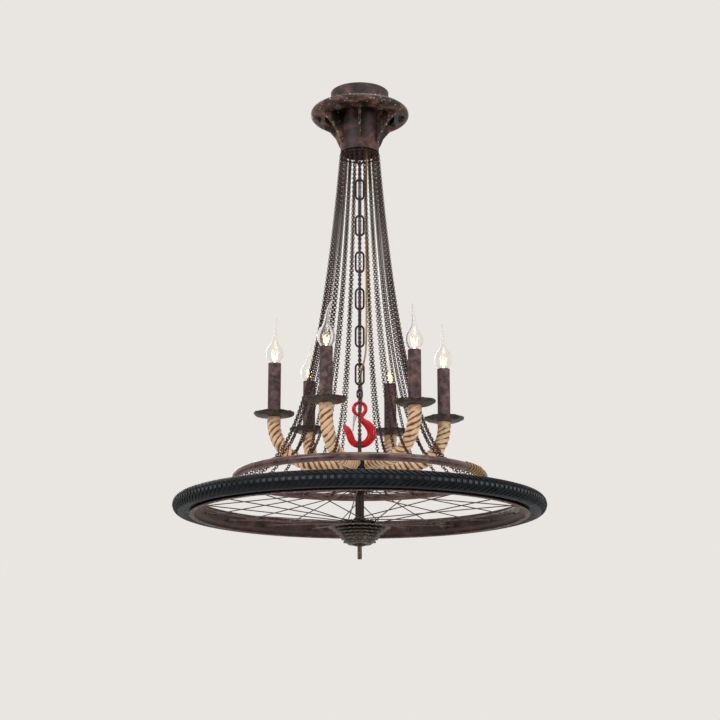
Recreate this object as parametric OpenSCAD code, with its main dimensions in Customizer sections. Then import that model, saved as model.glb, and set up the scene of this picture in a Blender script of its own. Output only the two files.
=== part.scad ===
// Pendant light made from a bicycle wheel. The origin is the centre of the ceiling face, and
// everything hangs below it in -Z. The viewer stands on the -Y side, and +X is to the right.
// Lower pieces are drawn about the centre of the wheel and moved down by wheel_drop.

/* [Hanging] */
// height of the ceiling above the wheel's middle plane
wheel_drop = 853; // [845:1:861]
// height of the hoop's centre line above the wheel's middle plane
hoop_z = 56.5; // [55:0.5:60]
// radius of the hoop's centre line
hoop_r = 238.5; // [236:0.5:243]
// outer radius of the hoop's tube
hoop_tube_r = 7.5; // [7:0.25:8]

/* [Canopy] */
// radius of the drum against the ceiling
drum_r = 59; // [58:1:62]
// height of the drum
drum_h = 38; // [34:1:42]
// outer radius of the cast flange
flange_r = 100; // [97:1:104]
// thickness of the flange at its rim
flange_t = 18; // [16:1:20]
// outer radius of the collar tube that carries the chain curtain
collar_r = 39; // [38:0.5:40]
// height of the collar tube
collar_h = 86; // [82:1:90]

/* [Chains] */
// number of chain strands in the curtain
strand_count = 24; // [18:6:24]
// wire radius of a curtain link
link_wire = 0.75; // [0.7:0.05:0.8]
// centre-line radius of a curtain link
link_r = 3.4; // [3.4:0.05:3.45]
// wire radius of the heavy chain
heavy_wire = 2; // [1.8:0.1:2.2]
// distance between the inner ends of a heavy link
heavy_inside = 38.5; // [38:0.5:39]

/* [Wheel] */
// outer radius of the tyre
tyre_r = 357.5; // [355:0.5:359]
// radius of the tyre's round section
tyre_section_r = 16; // [15.5:0.25:16.5]
// full width of the rim
rim_w = 36; // [35:0.5:37]
// depth from the tread in to the rim's inner face, where the spokes enter
rim_depth = 52.5; // [52:0.5:53]
// number of spokes
spoke_count = 36; // [28:4:36]
// radius of a spoke
spoke_r = 1; // [0.9:0.05:1.1]
// radius of the axle
axle_r = 4.75; // [4.5:0.05:5]

/* [Arms] */
// azimuth of the first arm, counted from the viewer towards +X
arm_turn = -22; // [-30:1:-10]
// radius of the circle that the candles stand on
candle_circle = 167; // [160:1:172]
// radius of the rope covering an arm
rope_r = 13; // [12:0.25:13]
// radius of an arm's steel tube
arm_tube_r = 6.5; // [6:0.25:6.5]
// height of the arms above the wheel's middle plane
arm_z = 82; // [81:0.5:84]
// radius of a drip pan
pan_r = 39.5; // [36:0.5:41]
// outer radius of a candle sleeve
sleeve_r = 12.5; // [12.25:0.25:13.5]
// height of a candle sleeve
sleeve_h = 103; // [97:1:108]
// largest radius of a bulb
bulb_r = 17.5; // [16:0.5:18]

/* [Hidden] */
$fn = 64;
arm_count = 6;
// clearance between pieces that only touch, and between links of a chain
seat = 0.05;
slack = 0.25;

// canopy heights, below the ceiling
flange_top = -drum_h;
flange_bottom = flange_top - flange_t;
plate_t = 6;
recess_z = flange_top - plate_t;
recess_r = flange_r - 30;
bolt_circle = flange_r - 14.5;
collar_wall = 3;
collar_bottom = recess_z - collar_h;
bracket_t = 4;
bolt_spacing = 88.9;

// curtain: a ring hangs on posts under the collar, and each strand runs from it to a hoop eye
ring_r = collar_r - collar_wall / 2;
ring_wire = 1.5;
ring_z = collar_bottom - 5.5;
eye_r = 4.2;
eye_wire = 1.3;
eye_bite = 1.2;
eye_at = hoop_r - hoop_tube_r + eye_bite - eye_r - eye_wire;
rise = ring_z + wheel_drop - hoop_z;
run = eye_at - ring_r;
strand_r = 2.6;
strand_rings = 24;
strand_sides = 6;
link_pitch = 2 * (link_r - link_wire) - slack;
strands_per_node = strand_count / 6;
function cosh(x) = (exp(x) + exp(-x)) / 2;
function sinh(x) = (exp(x) - exp(-x)) / 2;
function asinh(x) = ln(x + sqrt(x * x + 1));
function lift(a) = a * (cosh(run / a) - 1);
function slump(lo, hi, n) =
  let (m = (lo + hi) / 2) n == 0 ? m : lift(m) > rise ? slump(m, hi, n - 1) : slump(lo, m, n - 1);
// the strand hangs as a catenary with its lowest point at the hoop eye
sag = slump(25, 200, 40);
strand_len = sag * sinh(run / sag);
function strand_x(s) = eye_at - sag * asinh(s / sag);
function strand_z(s) = hoop_z + sag * (sqrt(1 + pow(s / sag, 2)) - 1);
function strand_tilt(s) = atan(s / sag);

// central chain, heights above the wheel's middle plane
heavy_bend = 8;
heavy_pitch = heavy_inside - slack;
heavy_first = 263;
heavy_top_gap = 24;
heavy_count = floor((wheel_drop + flange_bottom - heavy_first - heavy_top_gap) / heavy_pitch) + 2;
heavy_last = heavy_first + (heavy_count - 1) * heavy_pitch;
top_eye_r = 9;
top_eye_wire = 3;
top_eye_z = heavy_last + heavy_inside / 2 - slack - top_eye_wire + top_eye_r;
thin_wire = 1.5;
thin_inside = 14;
thin_bend = 5;
thin_pitch = thin_inside - slack;
thin_first = heavy_first - heavy_inside / 2 + slack - thin_inside / 2;

// hook, hung in the last thin link
hook_eye_wire = 3.2;
hook_eye_r = 12.5;
hook_sit = thin_first - 2 * thin_pitch - thin_inside / 2 + slack + hook_eye_wire;
hook_eye_z = hook_sit - hook_eye_r;
// the hook's middle line as x, height below the eye's centre, and radius
hook_line = [
  [12.6, -1.0, 3.3], [9.2, -7.6, 3.8], [5.0, -13.2, 4.0], [3.8, -18.6, 4.6], [7.2, -24.6, 6.2],
  [14.0, -30.0, 7.8], [20.0, -37.2, 8.9], [23.0, -45.4, 9.1], [22.4, -54.0, 8.8],
  [17.6, -62.8, 8.1], [9.8, -69.0, 7.2], [0.0, -71.2, 6.6], [-8.6, -69.2, 6.8],
  [-14.4, -64.2, 7.2], [-17.6, -57.1, 7.4], [-20.0, -49.7, 7.3], [-23.4, -42.7, 6.8],
  [-27.3, -37.4, 5.3], [-30.3, -34.3, 3.6], [-32.0, -32.9, 1.7]];
hook_sides = 12;
latch_x = -9.6;
latch_z = hook_eye_z - 16.2;
latch_len = 27.5;
latch_lean = 7;
latch_pin_r = 1.5;
bowl_top = hook_eye_z - 71.2 + 6.6;

// arm hub and its eye
hub_eye_r = 13;
hub_eye_wire = 3.5;
hub_eye_z = bowl_top + slack - (hub_eye_r - hub_eye_wire);
hub_r = 26;
hub_foot = 50;
hub_top = 99;
rope_start = 28.5;
bend_r = 80;
pan_z = 172;
sleeve_z = pan_z + 3.4;
sleeve_wall = 1.2;
holder_h = 42;
holder_z = sleeve_z + sleeve_h - 2 - holder_h;
cap_r = 6.9;
bulb_z = holder_z + holder_h;

// wheel
rim_t = 2.2;
rim_inner_r = tyre_r - rim_depth;
shelf_r = rim_inner_r + 12.5;
lip_r = rim_inner_r + 20;
tyre_mid = tyre_r - tyre_section_r;
tyre_wall = 3.5;
flange_z = [33.5, -27.5];
hub_flange_r = 27.5;
hub_flange_t = 2.6;
hole_circle = 24.5;
elbow = hub_flange_t / 2 + spoke_r + 0.8;
spoke_end_r = rim_inner_r + 1.5;
spoke_step = 720 / spoke_count;
lace = 3 * spoke_step;
ball_r = 3.1;
ball_circle = 9.7;
ball_z = [39.15, -41.15];
cog_teeth = [28, 24, 21, 18, 16, 14];
cog_pitch = 12.7;
cog_z = -38.5;
cog_gap = 5.6;
cog_t = 2;
core_r = 20.2;
body_bore = 20.5;
body_r = 26.5;
body_small_r = 22.6;
body_foot = cog_z - 32.5;
valve_at = 55;
axle_end_r = axle_r - 0.5;
undercut = 1.2;
axle_end_z = -75;
axle_low = -99;
axle_high = 86.2;
socket_floor = 17;

// hoop whipping: a flat cord wound round the hoop's tube in open turns, half of them to
// either side of the eye at -30 degrees
whip_turns = 6;
whip_eye = -30;
whip_pitch = 2.64;
whip_thick = 0.8;
whip_wide = 3.2;
whip_rings = 32;
whip_sides = 12;

function azimuth(a) = a - 90;
function arm_at(k) = azimuth(arm_turn + k * 360 / arm_count);
function unit(v) = v / norm(v);
function mid(p, i, t) =
  let (a = p[max(i - 1, 0)], b = p[i], c = p[min(i + 1, len(p) - 1)], d = p[min(i + 2, len(p) - 1)])
  0.5 * (2 * b + (c - a) * t + (2 * a - 5 * b + 4 * c - d) * t * t
    + (3 * b - a - 3 * c + d) * t * t * t);
// a smooth line through control points, with m steps between each pair
function smooth(p, m) =
  concat([for (i = [0:len(p) - 2], j = [0:m - 1]) mid(p, i, j / m)], [p[len(p) - 1]]);
function along(p, i) = unit(p[min(i + 1, len(p) - 1)] - p[max(i - 1, 0)]);

// a tube of given radii on a line of points, with its rings square to the line. The factor
// wide flattens it: the radius holds across up, and wide times the radius along it.
module tube(points, radii, sides, up, wide = 1) {
  n = len(points);
  rings = [for (i = [0:n - 1])
    let (t = along(points, i), u = unit(cross(up, t)), v = cross(t, u))
    for (j = [0:sides - 1])
      points[i] + radii[i] * (cos(360 * j / sides) * u + wide * sin(360 * j / sides) * v)];
  ends = [points[0], points[n - 1]];
  skin = [for (i = [0:n - 2], j = [0:sides - 1])
    let (a = i * sides + j, b = i * sides + (j + 1) % sides)
    each [[a, a + sides, b], [b, a + sides, b + sides]]];
  low = [for (j = [0:sides - 1]) [n * sides, j, (j + 1) % sides]];
  top = [for (j = [0:sides - 1])
    [n * sides + 1, (n - 1) * sides + (j + 1) % sides, (n - 1) * sides + j]];
  polyhedron(points = concat(rings, ends), faces = concat(skin, low, top));
}

module torus(r, wire) {
  rotate_extrude($fn = 64)
    translate([r, 0, 0])
      circle(r = wire, $fn = 24);
}

// a long chain link in the XZ plane: two half rings and two straight sides
module long_link(wire, inside, bend) {
  half = inside / 2 - (bend - wire);
  for (side = [-1, 1]) {
    translate([side * bend, 0, -half])
      cylinder(r = wire, h = 2 * half, $fn = 24);
    translate([0, 0, side * half])
      rotate([90, 0, 0])
        rotate(side > 0 ? 0 : 180)
          rotate_extrude(angle = 180, $fn = 64)
            translate([bend, 0, 0])
              circle(r = wire, $fn = 24);
  }
}

module lower() {
  translate([0, 0, -wheel_drop])
    children();
}

module hex(r, h, hole) {
  difference() {
    cylinder(r = r, h = h, $fn = 6);
    translate([0, 0, -1])
      cylinder(r = hole, h = h + 2, $fn = 32);
  }
}

module ceiling_bracket() {
  ear_x = sqrt(pow(drum_r - 2, 2) - 100) - 0.3;
  color("#8d8f91")
  difference() {
    union() {
      translate([-ear_x, -12, -bracket_t])
        cube([2 * ear_x, 24, bracket_t]);
      for (s = [-1, 1])
        translate([s > 0 ? ear_x - 3 : -ear_x, -10, -24])
          cube([3, 20, 21]);
    }
    for (s = [-1, 1]) {
      translate([s * bolt_spacing / 2, 0, -bracket_t - 1])
        cylinder(r = 2.6, h = bracket_t + 2, $fn = 32);
      translate([s > 0 ? ear_x - 4 : -ear_x - 1, 0, -16])
        rotate([0, 90, 0])
          cylinder(r = 2.1, h = 5, $fn = 32);
    }
    translate([0, 0, -bracket_t - 1])
      cylinder(r = 3.1, h = bracket_t + 2, $fn = 32);
  }
}

module canopy_screws() {
  color("#6b625a")
  for (s = [0, 180])
    rotate(s)
      translate([0, 0, -16])
        rotate([0, 90, 0]) {
          translate([0, 0, drum_r - 9])
            cylinder(r = 2, h = 9.3, $fn = 32);
          translate([0, 0, drum_r + 0.2])
            cylinder(r1 = 4.2, r2 = 3, h = 2.2, $fn = 32);
        }
}

module ceiling_eye() {
  color("#3a2a26") {
    lower()
      translate([0, 0, top_eye_z])
        rotate([90, 0, (heavy_count % 2) * 90])
          torus(top_eye_r, top_eye_wire);
    translate([0, 0, top_eye_z + top_eye_r - wheel_drop])
      cylinder(r = 3, h = wheel_drop - top_eye_z - top_eye_r - 1, $fn = 32);
    translate([0, 0, -bracket_t - 0.05 - 5])
      cylinder(r = 5.8, h = 5, $fn = 6);
  }
}

module terminal_block() {
  color("#e8e2d4")
  difference() {
    translate([18, -7, -bracket_t - seat - 13])
      cube([16, 14, 13]);
    translate([26, 0, -bracket_t - 15])
      cylinder(r = 2.1, h = 9, $fn = 24);
  }
}

module canopy_drum() {
  color("#3b2a24")
  difference() {
    translate([0, 0, -drum_h + seat])
      cylinder(r = drum_r, h = drum_h - seat, $fn = 96);
    translate([0, 0, -drum_h - 1])
      cylinder(r = drum_r - 2, h = drum_h + 2, $fn = 96);
    for (s = [0, 180])
      rotate(s)
        translate([drum_r - 5, 0, -16])
          rotate([0, 90, 0])
            cylinder(r = 2.2, h = 8, $fn = 32);
  }
}

// the cast flange: a plate, a thick rounded rim under it and six ribs down to the collar
module flange_disc() {
  round_r = flange_t / 2;
  color("#3b2a24")
  difference() {
    union() {
      rotate_extrude($fn = 96)
        union() {
          translate([flange_r - round_r, flange_bottom + round_r])
            circle(r = round_r, $fn = 32);
          translate([recess_r, flange_bottom])
            square([flange_r - round_r - recess_r, flange_t]);
          translate([collar_r - collar_wall, recess_z])
            square([recess_r - collar_r + collar_wall + 1, plate_t]);
        }
    }
    for (k = [0:5])
      rotate(azimuth(30 + 60 * k))
        translate([bolt_circle, 0, flange_bottom - 1])
          cylinder(r = 3.3, h = flange_t + 2, $fn = 32);
  }
}

module flange_ribs() {
  foot = collar_bottom + 16;
  color("#33241f")
  for (k = [0:5])
    rotate(azimuth(60 * k))
      translate([0, 2.5, 0])
        rotate([90, 0, 0])
          linear_extrude(height = 5)
            polygon([[collar_r + seat, recess_z - seat], [recess_r - 0.3, recess_z - seat],
              [recess_r - 0.3, flange_bottom - seat], [flange_r - 16, flange_bottom - seat],
              [flange_r - 16, flange_bottom - 6], [recess_r, flange_bottom - 15],
              [collar_r + 17, flange_bottom - 32], [collar_r + 8, foot + 6],
              [collar_r + 4, foot], [collar_r + seat, foot]]);
}

module flange_bolts() {
  color("#6b5a4c")
  for (k = [0:5])
    rotate(azimuth(30 + 60 * k))
      translate([bolt_circle, 0, 0]) {
        translate([0, 0, flange_bottom - 2])
          cylinder(r = 7, h = 2 - seat, $fn = 32);
        translate([0, 0, flange_bottom - 7])
          cylinder(r = 5.8, h = 5.5, $fn = 6);
        translate([0, 0, flange_bottom - 3])
          cylinder(r = 3, h = flange_t + 9, $fn = 32);
        translate([0, 0, flange_top + seat])
          cylinder(r = 5.8, h = 5, $fn = 6);
      }
}

module collar_tube() {
  color("#2f221e")
  difference() {
    translate([0, 0, collar_bottom])
      cylinder(r = collar_r, h = collar_h - seat, $fn = 96);
    translate([0, 0, collar_bottom - 1])
      cylinder(r = collar_r - collar_wall, h = collar_h + 2, $fn = 96);
  }
}

module curtain_ring() {
  color("#3a2a26")
  union() {
    translate([0, 0, ring_z])
      torus(ring_r, ring_wire);
    for (k = [0:5])
      rotate(azimuth(60 * k + 180 / strand_count))
        translate([ring_r, 0, ring_z])
          cylinder(r = 1.3, h = collar_bottom - ring_z - seat, $fn = 24);
  }
}

// one small round link at distance s up its strand, turned face on or edge on
module strand_link(s, flat) {
  translate([strand_x(s), 0, strand_z(s)])
    rotate([0, strand_tilt(s), 0])
      rotate([flat ? 0 : 90, 0, 0])
        torus(link_r, link_wire);
}

// a strand: true links where it leaves the hoop eye and the curtain ring, a plain cord between
module strand() {
  first = eye_r - eye_wire - link_wire - slack + link_r;
  s0 = first + 2 * link_pitch + link_r;
  hang = strand_len - (link_r - link_wire - ring_wire - slack);
  s1 = hang - link_pitch - link_r;
  route = [for (i = [0:strand_rings])
    let (s = s0 + (s1 - s0) * i / strand_rings) [strand_x(s), 0, strand_z(s)]];
  for (k = [0:2])
    strand_link(first + k * link_pitch, k % 2 == 0);
  strand_link(hang, false);
  strand_link(hang - link_pitch, true);
  tube(route, [for (p = route) strand_r], strand_sides, [0, 1, 0]);
}

module curtain_chain(n) {
  color("#3a2a26")
  lower()
    for (k = [0:strands_per_node - 1])
      rotate(azimuth((n * strands_per_node + k) * 360 / strand_count))
        strand();
}

module heavy_chain() {
  color("#2f2724")
  lower()
    for (k = [0:heavy_count - 1])
      translate([0, 0, heavy_first + k * heavy_pitch])
        rotate((k % 2) * 90)
          long_link(heavy_wire, heavy_inside, heavy_bend);
}

module thin_chain() {
  color("#2f2724")
  lower()
    for (k = [0:2])
      translate([0, 0, thin_first - k * thin_pitch])
        rotate((k % 2) * 90 + 90)
          long_link(thin_wire, thin_inside, thin_bend);
}

// lamp flex: down the collar beside the chain, through the last heavy link, round the hook's
// shank at the back and into the arm hub. Heights are above the wheel's middle plane.
module power_flex() {
  top = wheel_drop - bracket_t - 16;
  line = [[26, 0, top + 9], [26, 0, top], [22, -2, top - 40], [15, -5, top - 80],
    [13.5, -5, 660], [13.2, -5, 560], [13.2, -5, 460], [13.2, -5, 380], [13, -5, 340],
    [12, -6, 310], [9, -6, 290], [5, -3.5, 275], [2.6, 0.5, 265], [2, 5, 256], [3, 8.5, 246],
    [4, 10, 234], [4, 11, 220], [3, 12, 200], [1, 13.5, 180], [0, 17, 160], [0, 20, 140],
    [0, 20.5, 124], [0, 19, 112], [0, 17, 104], [0, 16, 97.5]];
  route = smooth(line, 3);
  color("#b08a3c")
  lower()
    tube(route, [for (p = route) 1.9], 8, [0, 1, 0.02]);
}

module hook() {
  line = smooth([for (p = hook_line) p], 2);
  pts = [for (p = line) [p[0], 0, hook_eye_z + p[1]]];
  color("#c3121f")
  lower()
    union() {
      translate([0, 0, hook_eye_z])
        rotate([90, 0, 0])
          torus(hook_eye_r, hook_eye_wire);
      tube(pts, [for (p = line) p[2]], hook_sides, [0, 1, 0]);
      // the lug under the eye that carries the latch pin
      difference() {
        union()
          for (p = [[0, 0], [1.1, 2.2]])
            translate([latch_x + p[0], -2.2, latch_z + p[1]])
              rotate([-90, 0, 0])
                cylinder(r = 3.6, h = 4.4, $fn = 32);
        translate([latch_x, -3, latch_z])
          rotate([-90, 0, 0])
            cylinder(r = latch_pin_r + 0.05, h = 6, $fn = 32);
      }
    }
}

module latch_pin() {
  color("#c9ccd0")
  lower()
    translate([latch_x, 0, latch_z])
      rotate([90, 0, 0])
        union() {
          translate([0, 0, -4.6])
            cylinder(r = latch_pin_r, h = 9.2, $fn = 32);
          for (s = [-4.7, 4.1])
            translate([0, 0, s])
              cylinder(r = 2.6, h = 0.6, $fn = 32);
        }
}

// the safety latch: two cheeks on the pin and a folded plate that closes the throat
module hook_latch() {
  color("#b9bec4")
  lower()
    translate([latch_x, 0, latch_z])
      rotate([0, latch_lean, 0])
        difference() {
          union() {
            for (s = [-3.7, 2.5])
              translate([0, s, 0])
                rotate([-90, 0, 0])
                  linear_extrude(height = 1.2)
                    polygon([[-3.2, -1.5], [-1.5, -3.2], [1.5, -3.2], [3.2, -1.5], [3.2, 2],
                      [1.6, 9], [0.8, latch_len], [-1.4, latch_len], [-2.4, 9], [-3.2, 2]]);
            translate([-1.4, -3.6, -latch_len])
              cube([2.2, 7.2, latch_len - 7]);
          }
          translate([0, -5, 0])
            rotate([-90, 0, 0])
              cylinder(r = latch_pin_r + 0.08, h = 10, $fn = 32);
        }
}

// the eye on top of the arm hub, caught in the hook's bowl
module hub_eye() {
  color("#2d2622")
  lower()
    union() {
      translate([0, 0, hub_eye_z])
        rotate([90, 0, 90])
          torus(hub_eye_r, hub_eye_wire);
      translate([0, 0, hub_top + seat])
        cylinder(r1 = 9, r2 = 6, h = hub_eye_z - hub_eye_r + 1 - hub_top, $fn = 32);
    }
}

module arm_hub() {
  color("#2b2622")
  lower()
    difference() {
      rotate_extrude($fn = 64)
        polygon([[0, hub_foot], [8, hub_foot], [9.5, hub_foot + 4], [16, arm_z - 19],
          [hub_r - 3, arm_z - 15], [hub_r, arm_z - 12], [hub_r, arm_z + 12],
          [hub_r - 3, arm_z + 15], [20, hub_top], [0, hub_top]]);
      translate([0, 0, hub_foot - 1])
        cylinder(r = axle_r + seat, h = 38, $fn = 32);
      for (k = [0:arm_count - 1])
        rotate(arm_at(k))
          translate([15.5, 0, arm_z])
            rotate([0, 90, 0])
              cylinder(r = arm_tube_r + seat, h = 20, $fn = 32);
      translate([0, 16, hub_top - 6])
        cylinder(r = 2.1, h = 8, $fn = 24);
    }
}

// a pipe that runs out from the hub, bends up and rises to a height
module arm_pipe(outer, inner, from, to) {
  flat = candle_circle - bend_r - from;
  translate([from, 0, arm_z])
    rotate([0, 90, 0])
      linear_extrude(height = flat)
        difference() {
          circle(r = outer, $fn = 48);
          circle(r = inner, $fn = 48);
        }
  translate([candle_circle - bend_r, 0, arm_z + bend_r])
    rotate([90, 0, 0])
      rotate(-90)
        rotate_extrude(angle = 90, $fn = 96)
          translate([bend_r, 0, 0])
            difference() {
              circle(r = outer, $fn = 48);
              circle(r = inner, $fn = 48);
            }
  translate([candle_circle, 0, arm_z + bend_r])
    linear_extrude(height = to - arm_z - bend_r)
      difference() {
        circle(r = outer, $fn = 48);
        circle(r = inner, $fn = 48);
      }
}

module rope_arm(k) {
  color("#b08a5e")
  lower()
    rotate(arm_at(k))
      arm_pipe(rope_r, arm_tube_r + seat, rope_start, pan_z - seat);
}

module arm_tubes() {
  color("#5a5552")
  lower()
    for (k = [0:arm_count - 1])
      rotate(arm_at(k))
        arm_pipe(arm_tube_r, arm_tube_r - 1.2, 15.8, holder_z - seat);
}

module drip_pans() {
  color("#3a352e")
  lower()
    for (k = [0:arm_count - 1])
      rotate(arm_at(k))
        translate([candle_circle, 0, pan_z])
          rotate_extrude($fn = 64)
            polygon([[arm_tube_r + 0.1, 0], [18, 0], [30, 1.6], [pan_r - 2, 5.4], [pan_r, 8],
              [pan_r - 1.2, 8.6], [pan_r - 3, 6.6], [29.4, 3], [18, 1.5], [15, 3.3],
              [arm_tube_r + 0.1, 3.3]]);
}

module candle_sleeves() {
  color("#5a4040")
  lower()
    for (k = [0:arm_count - 1])
      rotate(arm_at(k))
        translate([candle_circle, 0, sleeve_z])
          difference() {
            cylinder(r = sleeve_r, h = sleeve_h, $fn = 48);
            translate([0, 0, -1])
              cylinder(r = sleeve_r - sleeve_wall, h = sleeve_h + 2, $fn = 48);
          }
}

module lamp_holders() {
  color("#2a2a2c")
  lower()
    for (k = [0:arm_count - 1])
      rotate(arm_at(k))
        translate([candle_circle, 0, holder_z])
          rotate_extrude($fn = 48)
            polygon([[0, 0], [8, 0], [8, 6], [sleeve_r - sleeve_wall - 0.1, 9],
              [sleeve_r - sleeve_wall - 0.1, holder_h], [cap_r + 0.3, holder_h],
              [cap_r + 0.3, socket_floor], [0, socket_floor]]);
}

module bulb_caps() {
  color("#b08a4a")
  lower()
    for (k = [0:arm_count - 1])
      rotate(arm_at(k))
        translate([candle_circle, 0, holder_z + socket_floor + seat])
          rotate_extrude($fn = 48)
            polygon([[0, 0], [2.5, 0], [cap_r - 1.5, 2.5], [cap_r, 4], [cap_r, holder_h - 16],
              [cap_r - 0.6, holder_h - 16], [cap_r - 0.6, 6], [0, 6]]);
}

// flame bulb: a blown body on a narrow neck, and a drawn tip that bends to one side
tip_turn = [0, 180, 200, 150, 0, 10];
tip_bend = [9, 3, 2, 4, 7, 3];
module bulb(k) {
  neck = cap_r - 0.75;
  r = bulb_r;
  t = 0.9;
  bend = tip_bend[k];
  line = [[0, 0, 46], [0, 0, 50], [0, 0, 57], [0.04, 0, 64], [0.2, 0, 71], [0.48, 0, 78.5],
    [0.78, 0, 85], [1, 0, 90.5], [1.12, 0, 93.5]];
  wide = [5.5, 4.9, 4.4, 4.0, 3.6, 3.1, 2.5, 1.8, 0.9];
  color("#e9dcc8", 0.5)
  lower()
    rotate(arm_at(k))
      translate([candle_circle, 0, bulb_z])
        union() {
          rotate_extrude($fn = 64)
            polygon([[neck, -18.5], [neck, 1], [r * 0.56, 5], [r * 0.8, 10], [r * 0.95, 16],
              [r, 21], [r * 0.97, 27], [r * 0.84, 33], [r * 0.6, 39.5], [r * 0.4, 44.5],
              [5.3, 48], [0, 48], [0, 44], [3.4, 43], [r * 0.6 - t, 38.3], [r * 0.84 - t, 32.5],
              [r * 0.97 - t, 26.6], [r - t, 21], [r * 0.95 - t, 16.2], [r * 0.8 - t, 10.6],
              [r * 0.56 - t, 5.8], [neck - t, 1.6], [neck - t, -18.5]]);
          rotate(tip_turn[k] - arm_at(k))
            tube([for (p = line) [p[0] * bend, 0, p[2]]], wide, 12, [0, 1, 0]);
        }
}

module filaments() {
  color("#ffd9a0")
  lower()
    for (k = [0:arm_count - 1])
      rotate(arm_at(k))
        translate([candle_circle, 0, bulb_z]) {
          translate([0, 0, -18.5])
            cylinder(r = 2.2, h = 28, $fn = 24);
          for (a = [0:90:270])
            rotate(a)
              translate([5, 0, 9.6])
                cylinder(r = 0.8, h = 19.8, $fn = 24);
          for (z = [9.2, 29])
            translate([0, 0, z])
              cylinder(r = 6.2, h = 0.8, $fn = 24);
          translate([0, 0, 9.6])
            cylinder(r = 0.6, h = 20, $fn = 24);
        }
}

module hoop() {
  color("#5b4443")
  lower()
    translate([0, 0, hoop_z])
      union() {
        rotate_extrude($fn = 180)
          translate([hoop_r, 0, 0])
            difference() {
              circle(r = hoop_tube_r, $fn = 32);
              circle(r = hoop_tube_r - 2, $fn = 32);
            }
        for (k = [0:strand_count - 1])
          rotate(azimuth(k * 360 / strand_count))
            translate([eye_at, 0, 0])
              rotate([90, 0, 0])
                torus(eye_r, eye_wire);
      }
}

module hoop_whipping() {
  steps = whip_turns * whip_rings;
  lay = hoop_tube_r + whip_thick + seat;
  from = whip_eye - 2 * whip_pitch;
  route = [for (i = [0:steps])
    let (b = 360 * i / whip_rings, q = hoop_r + lay * cos(b),
      a = from + whip_turns * whip_pitch * i / steps)
    [q * cos(a), q * sin(a), hoop_z + lay * sin(b)]];
  near = min([for (i = [0:4:whip_rings * 2])
    min([for (j = [i + whip_rings / 2:steps]) norm(route[i] - route[j])])]);
  echo(whipping_gap = near - 2 * whip_thick * whip_wide);
  middle = whip_eye + (whip_turns / 2 - 2) * whip_pitch;
  color("#b8925f")
  lower()
    tube(route, [for (p = route) whip_thick], whip_sides, [-sin(middle), cos(middle), 0],
      whip_wide);
}

module tyre() {
  color("#1c2126")
  lower()
    rotate_extrude($fn = 180)
      difference() {
        union() {
          translate([tyre_mid, 0])
            circle(r = tyre_section_r, $fn = 64);
          translate([shelf_r + seat, 1.5 - tyre_section_r])
            square([tyre_mid - shelf_r - seat, 2 * tyre_section_r - 3]);
        }
        translate([tyre_mid, 0])
          circle(r = tyre_section_r - tyre_wall, $fn = 48);
        translate([shelf_r - 1, 5 - tyre_section_r])
          square([tyre_mid - shelf_r + 1, 2 * tyre_section_r - 10]);
      }
}

module inner_tube() {
  color("#2a2a2a")
  lower()
    rotate_extrude($fn = 180)
      translate([tyre_mid, 0])
        difference() {
          circle(r = tyre_section_r - tyre_wall - 0.15, $fn = 48);
          circle(r = tyre_section_r - tyre_wall - 1.5, $fn = 48);
        }
}

function spoke_hole(side, i) = i * spoke_step + side * spoke_step / 2;
function spoke_rim(side, i) = spoke_hole(side, i) + (i % 2 == 0 ? lace : -lace);
function spoke_foot(side, i) =
  let (a = spoke_hole(side, i), s = i % 2 == 0 ? 1 : -1)
  [hole_circle * cos(a), hole_circle * sin(a), flange_z[side] + s * elbow];
function spoke_tip(side, i) =
  let (a = spoke_rim(side, i))
  [spoke_end_r * cos(a), spoke_end_r * sin(a), side == 0 ? 2.5 : -2.5];

// turns +Z onto the line from a to b, and moves the origin to a
module between(a, b) {
  d = b - a;
  translate(a)
    rotate([0, acos(d[2] / norm(d)), atan2(d[1], d[0])])
      children();
}

module rim() {
  w = rim_w / 2;
  color("#3b2a28")
  lower()
    difference() {
      rotate_extrude($fn = 180)
        polygon([[rim_inner_r, -7], [rim_inner_r + 2, -w + 8.5], [rim_inner_r + 8, -w + 6.4],
          [rim_inner_r + 10.3, -w + 4.5], [rim_inner_r + 10.3, -w + 1.5],
          [rim_inner_r + 12, -w], [lip_r, -w], [lip_r + 0.6, -w + 1.3], [lip_r, -w + 2.5],
          [shelf_r, -w + 2.5], [shelf_r, -w + 7.4], [rim_inner_r + 10, -w + 9],
          [rim_inner_r + 4, -w + 10.4], [rim_inner_r + rim_t, -6],
          [rim_inner_r + rim_t, 6], [rim_inner_r + 4, w - 10.4],
          [rim_inner_r + 10, w - 9], [shelf_r, w - 7.4], [shelf_r, w - 2.5],
          [lip_r, w - 2.5], [lip_r + 0.6, w - 1.3], [lip_r, w], [rim_inner_r + 12, w],
          [rim_inner_r + 10.3, w - 1.5], [rim_inner_r + 10.3, w - 4.5],
          [rim_inner_r + 8, w - 6.4], [rim_inner_r + 2, w - 8.5], [rim_inner_r, 7]]);
      for (side = [0, 1], i = [0:spoke_count / 2 - 1])
        between(spoke_tip(side, i), 2 * spoke_tip(side, i) - spoke_foot(side, i))
          translate([0, 0, -6])
            cylinder(r = 2.3, h = 12, $fn = 24);
      rotate(valve_at)
        translate([rim_inner_r - 4, 0, 0])
          rotate([0, 90, 0])
            cylinder(r = 4.1, h = 12, $fn = 32);
    }
}

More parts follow.
